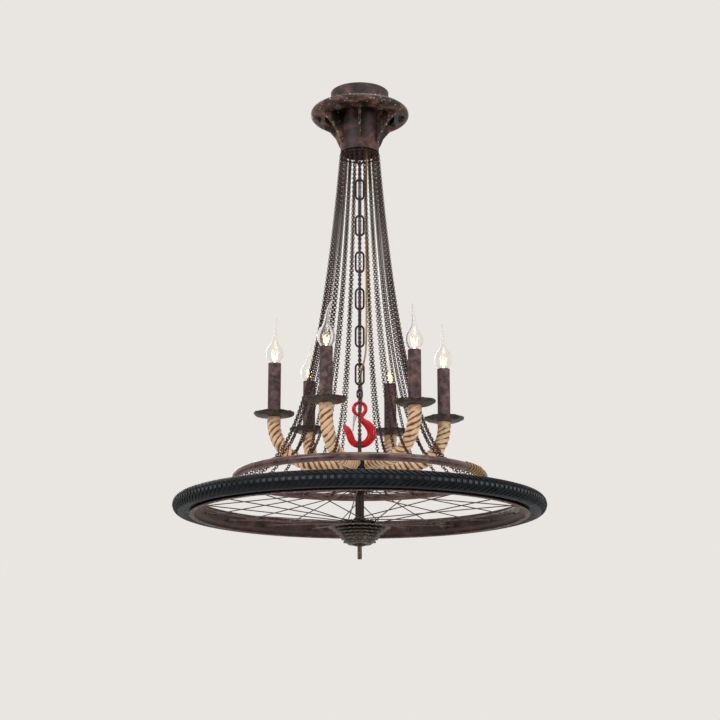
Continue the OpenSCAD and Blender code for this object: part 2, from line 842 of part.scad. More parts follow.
module spokes(side) {
  color("#6a5a50")
  lower()
    for (i = [0:spoke_count / 2 - 1])
      union() {
        foot = spoke_foot(side, i);
        s = i % 2 == 0 ? 1 : -1;
        between(foot, spoke_tip(side, i))
          cylinder(r = spoke_r, h = norm(spoke_tip(side, i) - foot), $fn = 24);
        translate(foot)
          sphere(r = spoke_r * 1.12, $fn = 24);
        translate([foot[0], foot[1], flange_z[side] - (s > 0 ? hub_flange_t / 2 + 0.5 : elbow)])
          cylinder(r = spoke_r, h = hub_flange_t / 2 + 0.5 + elbow, $fn = 24);
        translate([foot[0], foot[1],
          flange_z[side] - s * (hub_flange_t / 2 + 0.05) - (s > 0 ? 1.2 : 0)])
          cylinder(r = 1.9, h = 1.2, $fn = 24);
      }
}

module nipples() {
  color("#9a8a60")
  lower()
    for (side = [0, 1], i = [0:spoke_count / 2 - 1])
      between(spoke_tip(side, i), 2 * spoke_tip(side, i) - spoke_foot(side, i))
        difference() {
          union() {
            translate([0, 0, -12])
              cylinder(r = 2, h = 13.5, $fn = 24);
            translate([0, 0, 1.25])
              cylinder(r = 3.1, h = 1.6, $fn = 24);
          }
          translate([0, 0, -13])
            cylinder(r = spoke_r + 0.05, h = 13.1, $fn = 24);
        }
}

module valve() {
  color("#9c9a92")
  lower()
    rotate(valve_at)
      rotate([0, 90, 0])
        union() {
          translate([0, 0, rim_inner_r - 22])
            cylinder(r = 3.9, h = tyre_mid - tyre_section_r + tyre_wall - rim_inner_r + 22.1,
              $fn = 32);
          translate([0, 0, rim_inner_r - 28])
            cylinder(r = 3.2, h = 7, $fn = 32);
          translate([0, 0, rim_inner_r - 4.05])
            cylinder(r = 7.5, h = 4, $fn = 6);
        }
}

module hub_shell() {
  top = flange_z[0];
  low = flange_z[1];
  half = hub_flange_t / 2;
  color("#4a3430")
  lower()
    difference() {
      rotate_extrude($fn = 96)
        polygon([[17.3, -45], [17.3, low - half], [hub_flange_r, low - half],
          [hub_flange_r, low + half], [17, low + half], [12, -22], [8.5, -18], [8.5, 25],
          [12, 29], [16, top - half], [hub_flange_r, top - half], [hub_flange_r, top + half],
          [15.5, top + half], [15.5, 44], [13, 44], [13, 36], [6.8, 36], [6.8, -38],
          [13, -38], [13, -45]]);
      for (side = [0, 1], i = [0:spoke_count / 2 - 1])
        rotate(spoke_hole(side, i))
          translate([hole_circle, 0, flange_z[side] - 2])
            cylinder(r = spoke_r + 0.3, h = 4, $fn = 24);
    }
}

module bearing_balls() {
  color("#c8c8c8")
  lower()
    for (side = [0, 1], i = [0:8])
      rotate(40 * i)
        translate([ball_circle, 0, ball_z[side]])
          sphere(r = ball_r, $fn = 32);
}

module axle_cones() {
  color("#77706a")
  lower()
    for (s = [0, 180])
      rotate([s, 0, 0])
        translate([0, 0, s > 0 ? 2 : 0])
          union() {
            rotate_extrude($fn = 48)
              polygon([[axle_r + seat, 37.2], [6.3, 37.2], [6.4, 39.5], [7.6, 43],
                [8.6, 43.2], [8.6, 45.4], [axle_r + seat, 45.4]]);
            translate([0, 0, 45.45])
              hex(9.8, 4.5, axle_r + seat);
          }
}

module axle_nut() {
  color("#8a8078")
  lower()
    union() {
      translate([0, 0, -66])
        difference() {
          cylinder(r = 7.5, h = 14, $fn = 32);
          translate([0, 0, -1])
            cylinder(r = axle_r + seat, h = 17, $fn = 32);
        }
      translate([0, 0, -74])
        hex(9.8, 8, axle_r + seat);
    }
}

module axle() {
  color("#6e6862")
  lower()
    union() {
      translate([0, 0, axle_low])
        cylinder(r1 = axle_end_r - 0.8, r2 = axle_end_r, h = 1.2, $fn = 32);
      translate([0, 0, axle_low + 1.2])
        cylinder(r = axle_end_r, h = axle_end_z - undercut - axle_low - 1.2, $fn = 32);
      translate([0, 0, axle_end_z - undercut])
        cylinder(r = axle_end_r - 0.4, h = undercut, $fn = 32);
      translate([0, 0, axle_end_z])
        cylinder(r = axle_r, h = axle_high - axle_end_z, $fn = 32);
    }
}

module freewheel_core() {
  color("#55504c")
  lower()
    rotate_extrude($fn = 96)
      polygon([[17.35, -31.5], [core_r, -31.5], [core_r, body_foot + 1], [13.5, body_foot + 1],
        [13.5, -47], [17.35, -47]]);
}

module freewheel_body() {
  small_z = cog_z - 4.5 * cog_gap;
  color("#5f5a56")
  lower()
    rotate_extrude($fn = 96)
      polygon([[body_bore, -32.5], [body_r, -32.5], [body_r, small_z], [body_small_r, small_z],
        [body_small_r, body_foot], [14, body_foot], [14, body_foot + 0.7],
        [body_bore, body_foot + 0.7]]);
}

// a toothed sprocket for a half-inch chain: nine points a tooth, from root to tip and back
module sprocket(k) {
  n = cog_teeth[k];
  p = cog_pitch / (2 * sin(180 / n));
  root = p - 3.9;
  bore = (k < 5 ? body_r : body_small_r) + seat;
  shape = [[0, root], [0.13, root + 0.2], [0.24, root + 1.5], [0.33, p], [0.44, p + 3.1],
    [0.56, p + 3.1], [0.67, p], [0.76, root + 1.5], [0.87, root + 0.2]];
  outline = [for (i = [0:n - 1], q = shape)
    let (a = 360 * (i + q[0]) / n) [q[1] * cos(a), q[1] * sin(a)]];
  color("#5a5552")
  lower()
    translate([0, 0, cog_z - k * cog_gap - cog_t / 2])
      linear_extrude(height = cog_t)
        difference() {
          polygon(outline);
          circle(r = bore, $fn = 96);
        }
}

ceiling_bracket();
canopy_screws();
ceiling_eye();
terminal_block();
canopy_drum();
flange_disc();
flange_ribs();
flange_bolts();
collar_tube();
curtain_ring();
curtain_chain(0);  // curtain_chain_1
curtain_chain(1);  // curtain_chain_2
curtain_chain(2);  // curtain_chain_3
curtain_chain(3);  // curtain_chain_4
curtain_chain(4);  // curtain_chain_5
curtain_chain(5);  // curtain_chain_6
heavy_chain();
thin_chain();
power_flex();
hook();
latch_pin();
hook_latch();
hub_eye();
arm_hub();
rope_arm(0);  // rope_arm_1
rope_arm(1);  // rope_arm_2
rope_arm(2);  // rope_arm_3
rope_arm(3);  // rope_arm_4
rope_arm(4);  // rope_arm_5
rope_arm(5);  // rope_arm_6
arm_tubes();
drip_pans();
candle_sleeves();
lamp_holders();
bulb_caps();
for (k = [0:arm_count - 1])  // bulbs
    bulb(k);
filaments();
hoop();
hoop_whipping();
tyre();
inner_tube();
rim();
spokes(0);  // spokes_upper
spokes(1);  // spokes_lower
nipples();
valve();
hub_shell();
bearing_balls();
axle_cones();
axle_nut();
axle();
freewheel_core();
freewheel_body();
sprocket(0);  // sprocket_1
sprocket(1);  // sprocket_2
sprocket(2);  // sprocket_3
sprocket(3);  // sprocket_4
sprocket(4);  // sprocket_5
sprocket(5);  // sprocket_6
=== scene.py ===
import math
import random

import bpy
from mathutils import Matrix, Vector, noise


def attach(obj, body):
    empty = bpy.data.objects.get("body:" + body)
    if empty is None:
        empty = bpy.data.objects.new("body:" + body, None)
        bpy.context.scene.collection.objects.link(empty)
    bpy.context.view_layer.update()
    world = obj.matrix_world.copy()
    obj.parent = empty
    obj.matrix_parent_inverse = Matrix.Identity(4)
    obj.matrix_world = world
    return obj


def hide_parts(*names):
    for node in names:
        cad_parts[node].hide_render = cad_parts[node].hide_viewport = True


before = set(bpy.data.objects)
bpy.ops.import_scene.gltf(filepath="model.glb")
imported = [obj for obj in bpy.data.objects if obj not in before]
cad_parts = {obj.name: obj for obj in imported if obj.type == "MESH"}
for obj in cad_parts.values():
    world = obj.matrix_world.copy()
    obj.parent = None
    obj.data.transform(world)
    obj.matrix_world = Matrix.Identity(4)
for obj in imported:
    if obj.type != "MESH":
        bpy.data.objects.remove(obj)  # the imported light, in metres; the ceiling face is at z = 0

for leftover in ("Cube", "Light", "Camera"):
    if leftover in bpy.data.objects:
        bpy.data.objects.remove(bpy.data.objects[leftover])
bpy.ops.object.select_all(action="DESELECT")
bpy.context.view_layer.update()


# Studio
# The camera stands 3 m in front of the light, below its middle, and looks a little upwards.
# A pale floor lies under it, with two soft boxes in front, one above and a weak one behind.

CAMERA_AT = (0.0006, -2.9737, -1.2965)
CAMERA_TILT = 103.885  # degrees up from straight down
SENSOR, LENS = 36, 78.03  # mm
BACKDROP = "#e9e6e2"
AIR = 0.55  # strength of the white light that comes from all round
FLOOR_Z, FLOOR_R = -3.0, 150

camera = bpy.data.objects.new("camera", bpy.data.cameras.new("camera"))
camera.location = CAMERA_AT
camera.rotation_euler = (math.radians(CAMERA_TILT), 0, 0)
camera.data.sensor_width = SENSOR
camera.data.lens = LENS
bpy.context.collection.objects.link(camera)
bpy.context.scene.camera = camera
bpy.context.scene.view_settings.view_transform = "Standard"


def linear(code):
    """An sRGB hex colour as linear red, green, blue and alpha."""
    parts = [int(code[i:i + 2], 16) / 255 for i in (1, 3, 5)]
    return [c / 12.92 if c <= 0.04045 else ((c + 0.055) / 1.055) ** 2.4 for c in parts] + [1]


def add(tree, kind, sockets=None, stops=None, **settings):
    """Adds a shader node with its settings. Each socket is linked to another node's output or
    given a plain value, and stops are the places and colours of a colour ramp."""
    node = tree.nodes.new("ShaderNode" + kind)
    for name, value in settings.items():
        setattr(node, name, value)
    for name, value in (sockets or {}).items():
        if isinstance(value, bpy.types.NodeSocket):
            tree.links.new(value, node.inputs[name])
        else:
            node.inputs[name].default_value = value
    if stops:
        ramp = node.color_ramp
        ramp.elements.remove(ramp.elements[1])
        ramp.elements[0].position = stops[0][0]
        ramp.elements[0].color = linear(stops[0][1])
        for at, code in stops[1:]:
            ramp.elements.new(at).color = linear(code)
    return node


# the backdrop shows to the camera, in mirrors and through glass; elsewhere there is white air
world = bpy.data.worlds.new("studio")
bpy.context.scene.world = world
world.use_nodes = True
world.node_tree.nodes.clear()
path = add(world.node_tree, "LightPath")
seen = add(world.node_tree, "Math", {0: path.outputs["Is Camera Ray"],
                                     1: path.outputs["Is Glossy Ray"]}, operation="MAXIMUM")
seen = add(world.node_tree, "Math", {0: seen.outputs[0],
                                     1: path.outputs["Is Transmission Ray"]},
           operation="MAXIMUM")
air = add(world.node_tree, "Background", {"Color": linear("#ffffff"), "Strength": AIR})
backdrop = add(world.node_tree, "Background", {"Color": linear(BACKDROP), "Strength": 1.0})
both = add(world.node_tree, "MixShader", {0: seen.outputs[0], 1: air.outputs[0],
                                          2: backdrop.outputs[0]})
add(world.node_tree, "OutputWorld", {"Surface": both.outputs[0]})


def start_finish(name):
    """Starts a material: itself, its node tree and its Object coordinates in metres."""
    material = bpy.data.materials.new(name)
    material.use_nodes = True
    material.node_tree.nodes.clear()
    return material, material.node_tree, add(material.node_tree, "TexCoord").outputs["Object"]


def end_finish(tree, sockets):
    """Ends a material with its main shader."""
    shader = add(tree, "BsdfPrincipled", sockets)
    add(tree, "OutputMaterial", {"Surface": shader.outputs["BSDF"]})


def grains(size):
    """The Scale of a texture whose grains or patches are this wide in mm."""
    return 1000 / size


# matt floor paint: almost white, with faint clouds half a metre wide
bpy.ops.mesh.primitive_circle_add(vertices=96, radius=FLOOR_R, fill_type="NGON",
                                  location=(0, 0, FLOOR_Z))
floor = bpy.context.object
floor.name = "floor"
floor_paint, tree, place = start_finish("pale_matt_floor_paint")
cloudy = add(tree, "TexNoise", {"Vector": place, "Scale": grains(500),
                                "Detail": 3}).outputs["Fac"]
shade = add(tree, "ValToRGB", {"Fac": cloudy}, stops=[(0.3, "#f4f2ef"), (0.7, "#f9f8f6")])
end_finish(tree, {"Base Color": shade.outputs["Color"], "Roughness": 0.9})
floor.data.materials.append(floor_paint)

for name, where, aim, size, power in (
        ("soft_box_left", (-2.4, -2.6, 0.5), (0, 0, -0.6), 1.5, 46),
        ("soft_box_right", (2.6, -2.0, -0.1), (0, 0, -0.7), 1.3, 26),
        ("soft_box_above", (0.4, -0.6, 1.9), (0, 0, -0.8), 1.6, 30),
        ("soft_box_behind", (-0.8, 2.6, 0.3), (0, 0, -0.7), 1.4, 16)):
    lamp = bpy.data.objects.new(name, bpy.data.lights.new(name, "AREA"))
    lamp.data.size = size
    lamp.data.energy = power
    lamp.visible_transmission = False  # glass shows the plain backdrop
    lamp.location = where
    lamp.rotation_euler = (Vector(aim) - Vector(where)).to_track_quat("-Z", "Y").to_euler()
    bpy.context.collection.objects.link(lamp)


# Canopy
# A floor flange of cast iron under a spun steel drum, browned and mottled black and rust red.
# The casting's edges are chipped to pale metal, and six hexagon bolts close it to the drum.

MM = 0.001
CAST_SKIN = [(0.36, "#0f0d0a"), (0.46, "#221a15"), (0.54, "#4b3127"), (0.64, "#7d5a41")]
CASTING_VOXEL = 1.4 * MM  # rounds the casting's corners


def aged_iron(name, skin, patch, chip="#b9a184", chipped=0.66, gloss=(0.42, 0.72), pit=0.15,
              metal=0.0, edges=0.0, shine=0.35):
    """Iron browned by acid and waxed: skin is the ramp of its patches, patch their size in
    mm, chipped how rare the bare specks are, pit the depth of the grain in mm, edges how far
    wear has bared the corners, and shine how much of the light the wax throws back."""
    material, tree, place = start_finish(name)
    cloud = add(tree, "TexNoise", {"Vector": place, "Scale": grains(patch), "Detail": 8,
                                   "Roughness": 0.62, "Distortion": 0.5}).outputs["Fac"]
    grain = add(tree, "TexNoise", {"Vector": place, "Scale": grains(patch / 7), "Detail": 6,
                                   "Roughness": 0.6}).outputs["Fac"]
    colour = add(tree, "ValToRGB", {"Fac": cloud}, stops=skin).outputs["Color"]
    bare = add(tree, "MapRange", {"Value": grain, "From Min": chipped,
                                  "From Max": chipped + 0.05}).outputs["Result"]
    if edges:
        point = add(tree, "NewGeometry").outputs["Pointiness"]
        ragged = add(tree, "Math", {0: grain, 1: 0.6, 2: point},
                     operation="MULTIPLY_ADD").outputs[0]
        rubbed = add(tree, "MapRange", {"Value": ragged, "From Min": 0.92 - edges,
                                        "From Max": 0.95 - edges}).outputs["Result"]
        bare = add(tree, "Math", {0: bare, 1: rubbed}, operation="MAXIMUM").outputs[0]
    mixed = add(tree, "Mix", {0: bare, 6: colour, 7: linear(chip)},
                data_type="RGBA").outputs[2]
    rough = add(tree, "MapRange", {"Value": cloud, "From Min": 0.35, "From Max": 0.65,
                                   "To Min": gloss[0], "To Max": gloss[1]}).outputs["Result"]
    relief = add(tree, "Bump", {"Height": grain, "Distance": pit * MM, "Strength": 1.0})
    end_finish(tree, {"Base Color": mixed, "Roughness": rough, "Metallic": metal,
                      "Specular IOR Level": shine, "Normal": relief.outputs["Normal"]})
    return material


def dress(material, *names):
    """Gives CAD nodes this material."""
    for name in names:
        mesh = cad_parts[name].data
        mesh.materials.clear()
        mesh.materials.append(material)


def pick(*pieces):
    """Selects these pieces alone and makes the last one active."""
    bpy.ops.object.select_all(action="DESELECT")
    for piece in pieces:
        piece.select_set(True)
    bpy.context.view_layer.objects.active = pieces[-1]


def twin_of(piece, place=Matrix()):
    """A copy of this piece with a mesh of its own, moved by this matrix."""
    twin = bpy.data.objects.new(piece.name + "_twin", piece.data.copy())
    twin.data.transform(place)
    bpy.context.collection.objects.link(twin)
    return twin


def joined(pieces):
    """These pieces as one, in the last of them."""
    pick(*pieces)
    bpy.ops.object.join()
    return bpy.context.object


def solid_copy(*names):
    """One closed mesh with the shapes of these CAD nodes, for remeshing."""
    joined([twin_of(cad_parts[name]) for name in names])
    bpy.ops.object.mode_set(mode="EDIT")
    bpy.ops.mesh.select_all(action="SELECT")
    bpy.ops.mesh.remove_doubles(threshold=0.01 * MM)
    bpy.ops.mesh.customdata_custom_splitnormals_clear()
    bpy.ops.object.mode_set(mode="OBJECT")
    return bpy.context.object


def modify(piece, kind, **settings):
    """Adds a modifier with its settings and applies it."""
    pick(piece)
    modifier = piece.modifiers.new(kind.lower(), kind)
    for name, value in settings.items():
        setattr(modifier, name, value)
    bpy.ops.object.modifier_apply(modifier=modifier.name)


def settle(piece, name, material, body, slot, *nodes):
    """Names a finished piece, gives it its material, hangs it on its body and hides the CAD nodes
    it stands for.
    """
    piece.name = piece.data.name = name
    piece.data.materials.clear()
    piece.data.materials.append(material)
    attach(piece, body)
    if nodes:
        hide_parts(*nodes)


# browned cast iron: patches of 30 mm, pitted like sand casting, so it glints in small spots
canopy_iron = aged_iron("browned_cast_iron", CAST_SKIN, 30, chip="#cfba9c", edges=0.04,
                        gloss=(0.3, 0.6), pit=0.35)

# browned sheet steel: the same browning on smoother spun and rolled steel
sheet_steel = aged_iron("browned_sheet_steel", [(0.36, "#181312"), (0.46, "#2f2524"),
                                                (0.55, "#4c3634"), (0.66, "#73503e")],
                        26, chip="#a8917d", chipped=0.7, pit=0.12)
dress(sheet_steel, "canopy_drum", "collar_tube")

casting = solid_copy("flange_disc", "flange_ribs")
modify(casting, "REMESH", mode="VOXEL", voxel_size=CASTING_VOXEL)
modify(casting, "SMOOTH", factor=0.5, iterations=6)
bpy.ops.object.shade_smooth()
settle(casting, "flange_casting", canopy_iron, "frame", "canopy_iron", "flange_disc",
       "flange_ribs")

# worn forged steel: paler than the casting, with many small bright specks
bolt_iron = aged_iron("worn_bolt_steel", [(0.38, "#241a16"), (0.52, "#4f3e33"),
                                          (0.66, "#7d6856")], 9, chip="#d8c7a8",
                      chipped=0.6, metal=0.3)
dress(bolt_iron, "flange_bolts", "canopy_screws")

# zinc-plated folded steel: blue-grey crystals of 4 mm, satin
zinc, tree, place = start_finish("zinc_plated_steel")
spangle = add(tree, "TexVoronoi", {"Vector": place, "Scale": grains(4)}).outputs["Color"]
tone = add(tree, "ValToRGB", {"Fac": spangle}, stops=[(0.2, "#b4b8bc"), (0.8, "#d2d5d8")])
end_finish(tree, {"Base Color": tone.outputs["Color"], "Metallic": 1.0, "Roughness": 0.34})
dress(zinc, "ceiling_bracket", "hook_latch", "latch_pin")

# moulded nylon: off-white, with the faint orange peel of the mould
nylon, tree, place = start_finish("moulded_nylon")
peel = add(tree, "TexNoise", {"Vector": place, "Scale": grains(1.11),
                              "Detail": 2}).outputs["Fac"]
tone = add(tree, "ValToRGB", {"Fac": peel}, stops=[(0.3, "#ddd6c6"), (0.7, "#e9e3d5")])
relief = add(tree, "Bump", {"Height": peel, "Distance": 0.05 * MM, "Strength": 1.0})
end_finish(tree, {"Base Color": tone.outputs["Color"], "Roughness": 0.45,
                  "Normal": relief.outputs["Normal"]})
dress(nylon, "terminal_block")


# Central chain
# Welded long-link chain of 4 mm and 3 mm wire, browned nearly black, hung from an eye bolt in
# the canopy. The wax on it leaves it smoother than the casting, so it glints along its wire.

chain_iron = aged_iron("browned_chain_iron", [(0.36, "#17110f"), (0.48, "#2c1f1b"),
                                              (0.6, "#47302a"), (0.72, "#6b4636")],
                       14, chip="#a08b78", chipped=0.7, gloss=(0.32, 0.55), metal=0.35)
dress(chain_iron, "ceiling_eye", "curtain_ring", "heavy_chain", "thin_chain")


# Hook
# A drop-forged eye hook in red gloss enamel. The eye, the thick back and the thin point are
# one forging, so they run into each other, and the enamel pools smooth over it.

WHEEL_Z = -853 * MM  # height of the wheel's middle plane
EYE_WIRE, EYE_R = 3.2 * MM, 12.5 * MM
EYE_SWELL = 0.9 * MM  # at both sides the wire's radius grows by this, towards the hole
HOOK_EYE_Z = WHEEL_Z + 193.45 * MM
LATCH_X, LATCH_Z = -9.6 * MM, HOOK_EYE_Z - 16.2 * MM
LUG_AT = (LATCH_X + 0.5 * MM, 0, LATCH_Z + 1.1 * MM)
LUG_R, LUG_DEPTH = 3.6 * MM, 4.4 * MM
HOOK_VOXEL = 0.8 * MM
HOOK_LINE = (  # x, height from the eye's centre and radius, in mm
    (12.6, -1.0, 3.3), (9.2, -7.6, 3.8), (5.0, -13.2, 4.0), (3.8, -18.6, 4.6),
    (7.2, -24.6, 6.2), (14.0, -30.0, 7.8), (20.0, -37.2, 8.9), (23.0, -45.4, 9.1),
    (22.4, -54.0, 8.8), (17.6, -62.8, 8.1), (9.8, -69.0, 7.2), (0.0, -71.2, 6.6),
    (-8.6, -69.2, 6.8), (-14.4, -64.2, 7.2), (-17.6, -57.1, 7.4), (-20.0, -49.7, 7.3),
    (-23.4, -42.7, 6.8), (-27.3, -37.4, 5.3), (-30.3, -34.3, 3.6), (-32.0, -32.9, 1.7))


def smooth_line(points, steps):
    """A smooth line through these points, with steps points from each to the next."""
    ends = [points[0], *points, points[-1]]
    line = []
    for a, b, c, d in zip(ends, ends[1:], ends[2:], ends[3:]):
        for t in (i / steps for i in range(steps)):
            line.append([0.5 * (2 * q + (r - p) * t + (2 * p - 5 * q + 4 * r - s) * t * t
                                + (3 * q - p - 3 * r + s) * t ** 3)
                         for p, q, r, s in zip(a, b, c, d)])
    return line + [list(points[-1])]


def rod(name, points, radii, sides):
    """A round rod on a line of points, as a curve with this bevel resolution."""
    curve = bpy.data.curves.new(name, "CURVE")
    curve.dimensions = "3D"
    curve.bevel_depth = 1.0
    curve.bevel_resolution = sides
    curve.use_fill_caps = True
    spline = curve.splines.new("POLY")
    spline.points.add(len(points) - 1)
    for knot, point, radius in zip(spline.points, points, radii):
        knot.co = (*point, 1)
        knot.radius = radius
    piece = bpy.data.objects.new(name, curve)
    bpy.context.collection.objects.link(piece)
    return piece


def to_mesh(piece):
    """Turns a curve into a mesh."""
    pick(piece)
    bpy.ops.object.convert(target="MESH")
    return bpy.context.object


line = smooth_line(HOOK_LINE, 4)
shank = to_mesh(rod("shank", [(x * MM, 0, HOOK_EYE_Z + z * MM) for x, z, r in line],
                    [r * MM for x, z, r in line], 6))
bpy.ops.mesh.primitive_torus_add(major_segments=64, minor_segments=20, major_radius=EYE_R,
                                 minor_radius=EYE_WIRE, location=(0, 0, HOOK_EYE_Z),
                                 rotation=(math.pi / 2, 0, 0))
eye = bpy.context.object
bpy.ops.mesh.primitive_cylinder_add(vertices=32, radius=LUG_R, depth=LUG_DEPTH,
                                    location=LUG_AT, rotation=(math.pi / 2, 0, 0))
lug = bpy.context.object
pick(lug, eye, shank)
bpy.ops.object.transform_apply(location=True, rotation=True, scale=True)
for corner in eye.data.vertices:
    ray = Vector((corner.co.x, 0, corner.co.z - HOOK_EYE_Z))
    centre = ray.normalized() * EYE_R + Vector((0, 0, HOOK_EYE_Z))
    side = EYE_SWELL * (ray.x / ray.length) ** 2
    corner.co += (corner.co - centre) * side / EYE_WIRE - ray.normalized() * side
bpy.ops.object.join()
hook = bpy.context.object
modify(hook, "REMESH", mode="VOXEL", voxel_size=HOOK_VOXEL)
modify(hook, "SMOOTH", factor=0.5, iterations=8)
bpy.ops.object.shade_smooth()

# gloss enamel on steel: a dense red with a clear shine, slightly uneven like brushed paint
enamel, tree, place = start_finish("red_gloss_enamel")
flow = add(tree, "TexNoise", {"Vector": place, "Scale": grains(8.33),
                              "Detail": 3}).outputs["Fac"]
dust = add(tree, "TexNoise", {"Vector": place, "Scale": grains(1.11),
                              "Detail": 4}).outputs["Fac"]
red = add(tree, "ValToRGB", {"Fac": flow}, stops=[(0.3, "#b4040f"), (0.7, "#dd0d1a")])
knock = add(tree, "MapRange", {"Value": dust, "From Min": 0.7, "From Max": 0.74})
mixed = add(tree, "Mix", {0: knock.outputs["Result"], 6: red.outputs["Color"],
                          7: linear("#5a0a10")}, data_type="RGBA").outputs[2]
relief = add(tree, "Bump", {"Height": flow, "Distance": 0.25 * MM, "Strength": 1.0})
end_finish(tree, {"Base Color": mixed, "Roughness": 0.25, "Specular IOR Level": 0.1,
                  "Coat Weight": 0.5, "Coat Roughness": 0.03,
                  "Normal": relief.outputs["Normal"]})
settle(hook, "hook_forging", enamel, "frame", "hook_red", "hook")


# Arm hub
# A turned iron boss with an eye on top that hangs in the hook. Six steel tubes are fixed in
# it. It is browned like the chain and almost black between the ropes.

hub_iron = aged_iron("browned_hub_iron", [(0.36, "#14100e"), (0.5, "#2b201b"),
                                          (0.66, "#4c382d")], 18, chipped=0.7, metal=0.2)
dress(hub_iron, "hub_eye", "arm_hub")

# drawn steel tube: bare grey metal under a thin, patchy scale
tube_steel, tree, place = start_finish("drawn_steel_tube")
scale = add(tree, "TexNoise", {"Vector": place, "Scale": grains(6.25),
                               "Detail": 5}).outputs["Fac"]
tone = add(tree, "ValToRGB", {"Fac": scale}, stops=[(0.35, "#3d3733"), (0.65, "#6d655e")])
end_finish(tree, {"Base Color": tone.outputs["Color"], "Metallic": 1.0, "Roughness": 0.5})
dress(tube_steel, "arm_tubes")


# Rope arms
# Each arm is a steel tube covered with four jute strands, 26 mm thick over all and laid to
# the right with a turn in 44 mm. Under the drip pan a thin yarn is wound round their ends.

FIRST_ARM = -22  # degrees from the front, to the left
ARM_TURNS = [math.radians(FIRST_ARM + 60 * k - 90) for k in range(6)]
START_STEP = 0.9  # radians that each rope's strands are turned from the last rope's
CANDLE_CIRCLE = 167 * MM
ROPE_R, ROPE_VALLEY, ROPE_LAY = 13 * MM, 9.8 * MM, 44 * MM
ROPE_STRANDS, STRAND_SIDES = 4, 12
LAY_STEPS = 30  # rings of the mesh in one turn of the strands
ARM_Z = WHEEL_Z + 82 * MM
ROPE_FROM = 28.5 * MM  # where the ropes begin, just outside the hub
BEND_R = 80 * MM
BEND_FROM = CANDLE_CIRCLE - BEND_R
PAN_Z = WHEEL_Z + 172 * MM
ROPE_TOP = PAN_Z - 0.05 * MM
FLAT_STEPS, BEND_STEPS, UP_STEPS = 12, 40, 3


def laid_rope(route, start):
    """Strands twisted round a line of points. The mesh keeps, as attributes, each point's
    place before the strands were laid, and how far it stands out of the valleys."""
    sides = ROPE_STRANDS * STRAND_SIDES
    stops = [0.0]
    for a, b in zip(route, route[1:]):
        stops.append(stops[-1] + (b - a).length)
    length = stops[-1]
    # a ring of round strands, drawn out straight and twisted
    bpy.ops.mesh.primitive_circle_add(vertices=sides, radius=ROPE_R, fill_type="NOTHING")
    rope = bpy.context.object
    for i, corner in enumerate(rope.data.vertices):
        across = abs((i % STRAND_SIDES) / STRAND_SIDES * 2 - 1)
        reach = ROPE_VALLEY + (ROPE_R - ROPE_VALLEY) * math.sqrt(max(0.0, 1 - across ** 2))
        angle = 2 * math.pi * i / sides + start
        corner.co = (reach * math.cos(angle), reach * math.sin(angle), 0)
    steps = max(2, round(length / ROPE_LAY * LAY_STEPS))
    modify(rope, "SCREW", angle=2 * math.pi * length / ROPE_LAY, screw_offset=length,
           steps=steps, render_steps=steps, use_merge_vertices=False, use_smooth_shade=True)
    straight = [v.co.copy() for v in rope.data.vertices]
    before = rope.data.attributes.new("before_laying", "FLOAT_VECTOR", "POINT")
    crown = rope.data.attributes.new("crown", "FLOAT", "POINT")
    for i, point in enumerate(straight):
        untwist = Matrix.Rotation(-2 * math.pi * point.z / ROPE_LAY, 3, "Z")
        before.data[i].vector = untwist @ point
        reach = Vector((point.x, point.y)).length - ROPE_VALLEY
        crown.data[i].value = (reach / (ROPE_R - ROPE_VALLEY)) ** 2
    # the line's own directions, carried along it without twist
    tangents = [(b - a).normalized() for a, b in zip(route, route[1:])]
    tangents.append(tangents[-1])
    side = tangents[0].orthogonal().normalized()
    sides_on = []
    for tangent in tangents:
        side = (side - tangent * side.dot(tangent)).normalized()
        sides_on.append(side)
    # the straight rope, bent along the line from its lower end
    knot = 0
    for i in sorted(range(len(straight)), key=lambda i: straight[i].z):
        point = straight[i]
        while knot < len(stops) - 2 and stops[knot + 1] < point.z:
            knot += 1
        share = (point.z - stops[knot]) / (stops[knot + 1] - stops[knot])
        centre = route[knot].lerp(route[knot + 1], share)
        along = tangents[knot].lerp(tangents[knot + 1], share).normalized()
        u = sides_on[knot].lerp(sides_on[knot + 1], share)
        u = (u - along * u.dot(along)).normalized()
        rope.data.vertices[i].co = centre + u * point.x + along.cross(u) * point.y
    # both ends are closed
    pick(rope)
    bpy.ops.object.mode_set(mode="EDIT")
    bpy.ops.mesh.select_mode(type="EDGE")
    bpy.ops.mesh.select_all(action="DESELECT")
    bpy.ops.mesh.select_non_manifold()
    bpy.ops.mesh.edge_face_add()
    bpy.ops.mesh.select_all(action="SELECT")
    bpy.ops.mesh.normals_make_consistent(inside=False)
    bpy.ops.object.mode_set(mode="OBJECT")
    return rope


def share_of(tree, value, times, plus):
    """A value times a number, added to another value."""
    return add(tree, "Math", {0: value, 1: times, 2: plus}, operation="MULTIPLY_ADD").outputs[0]
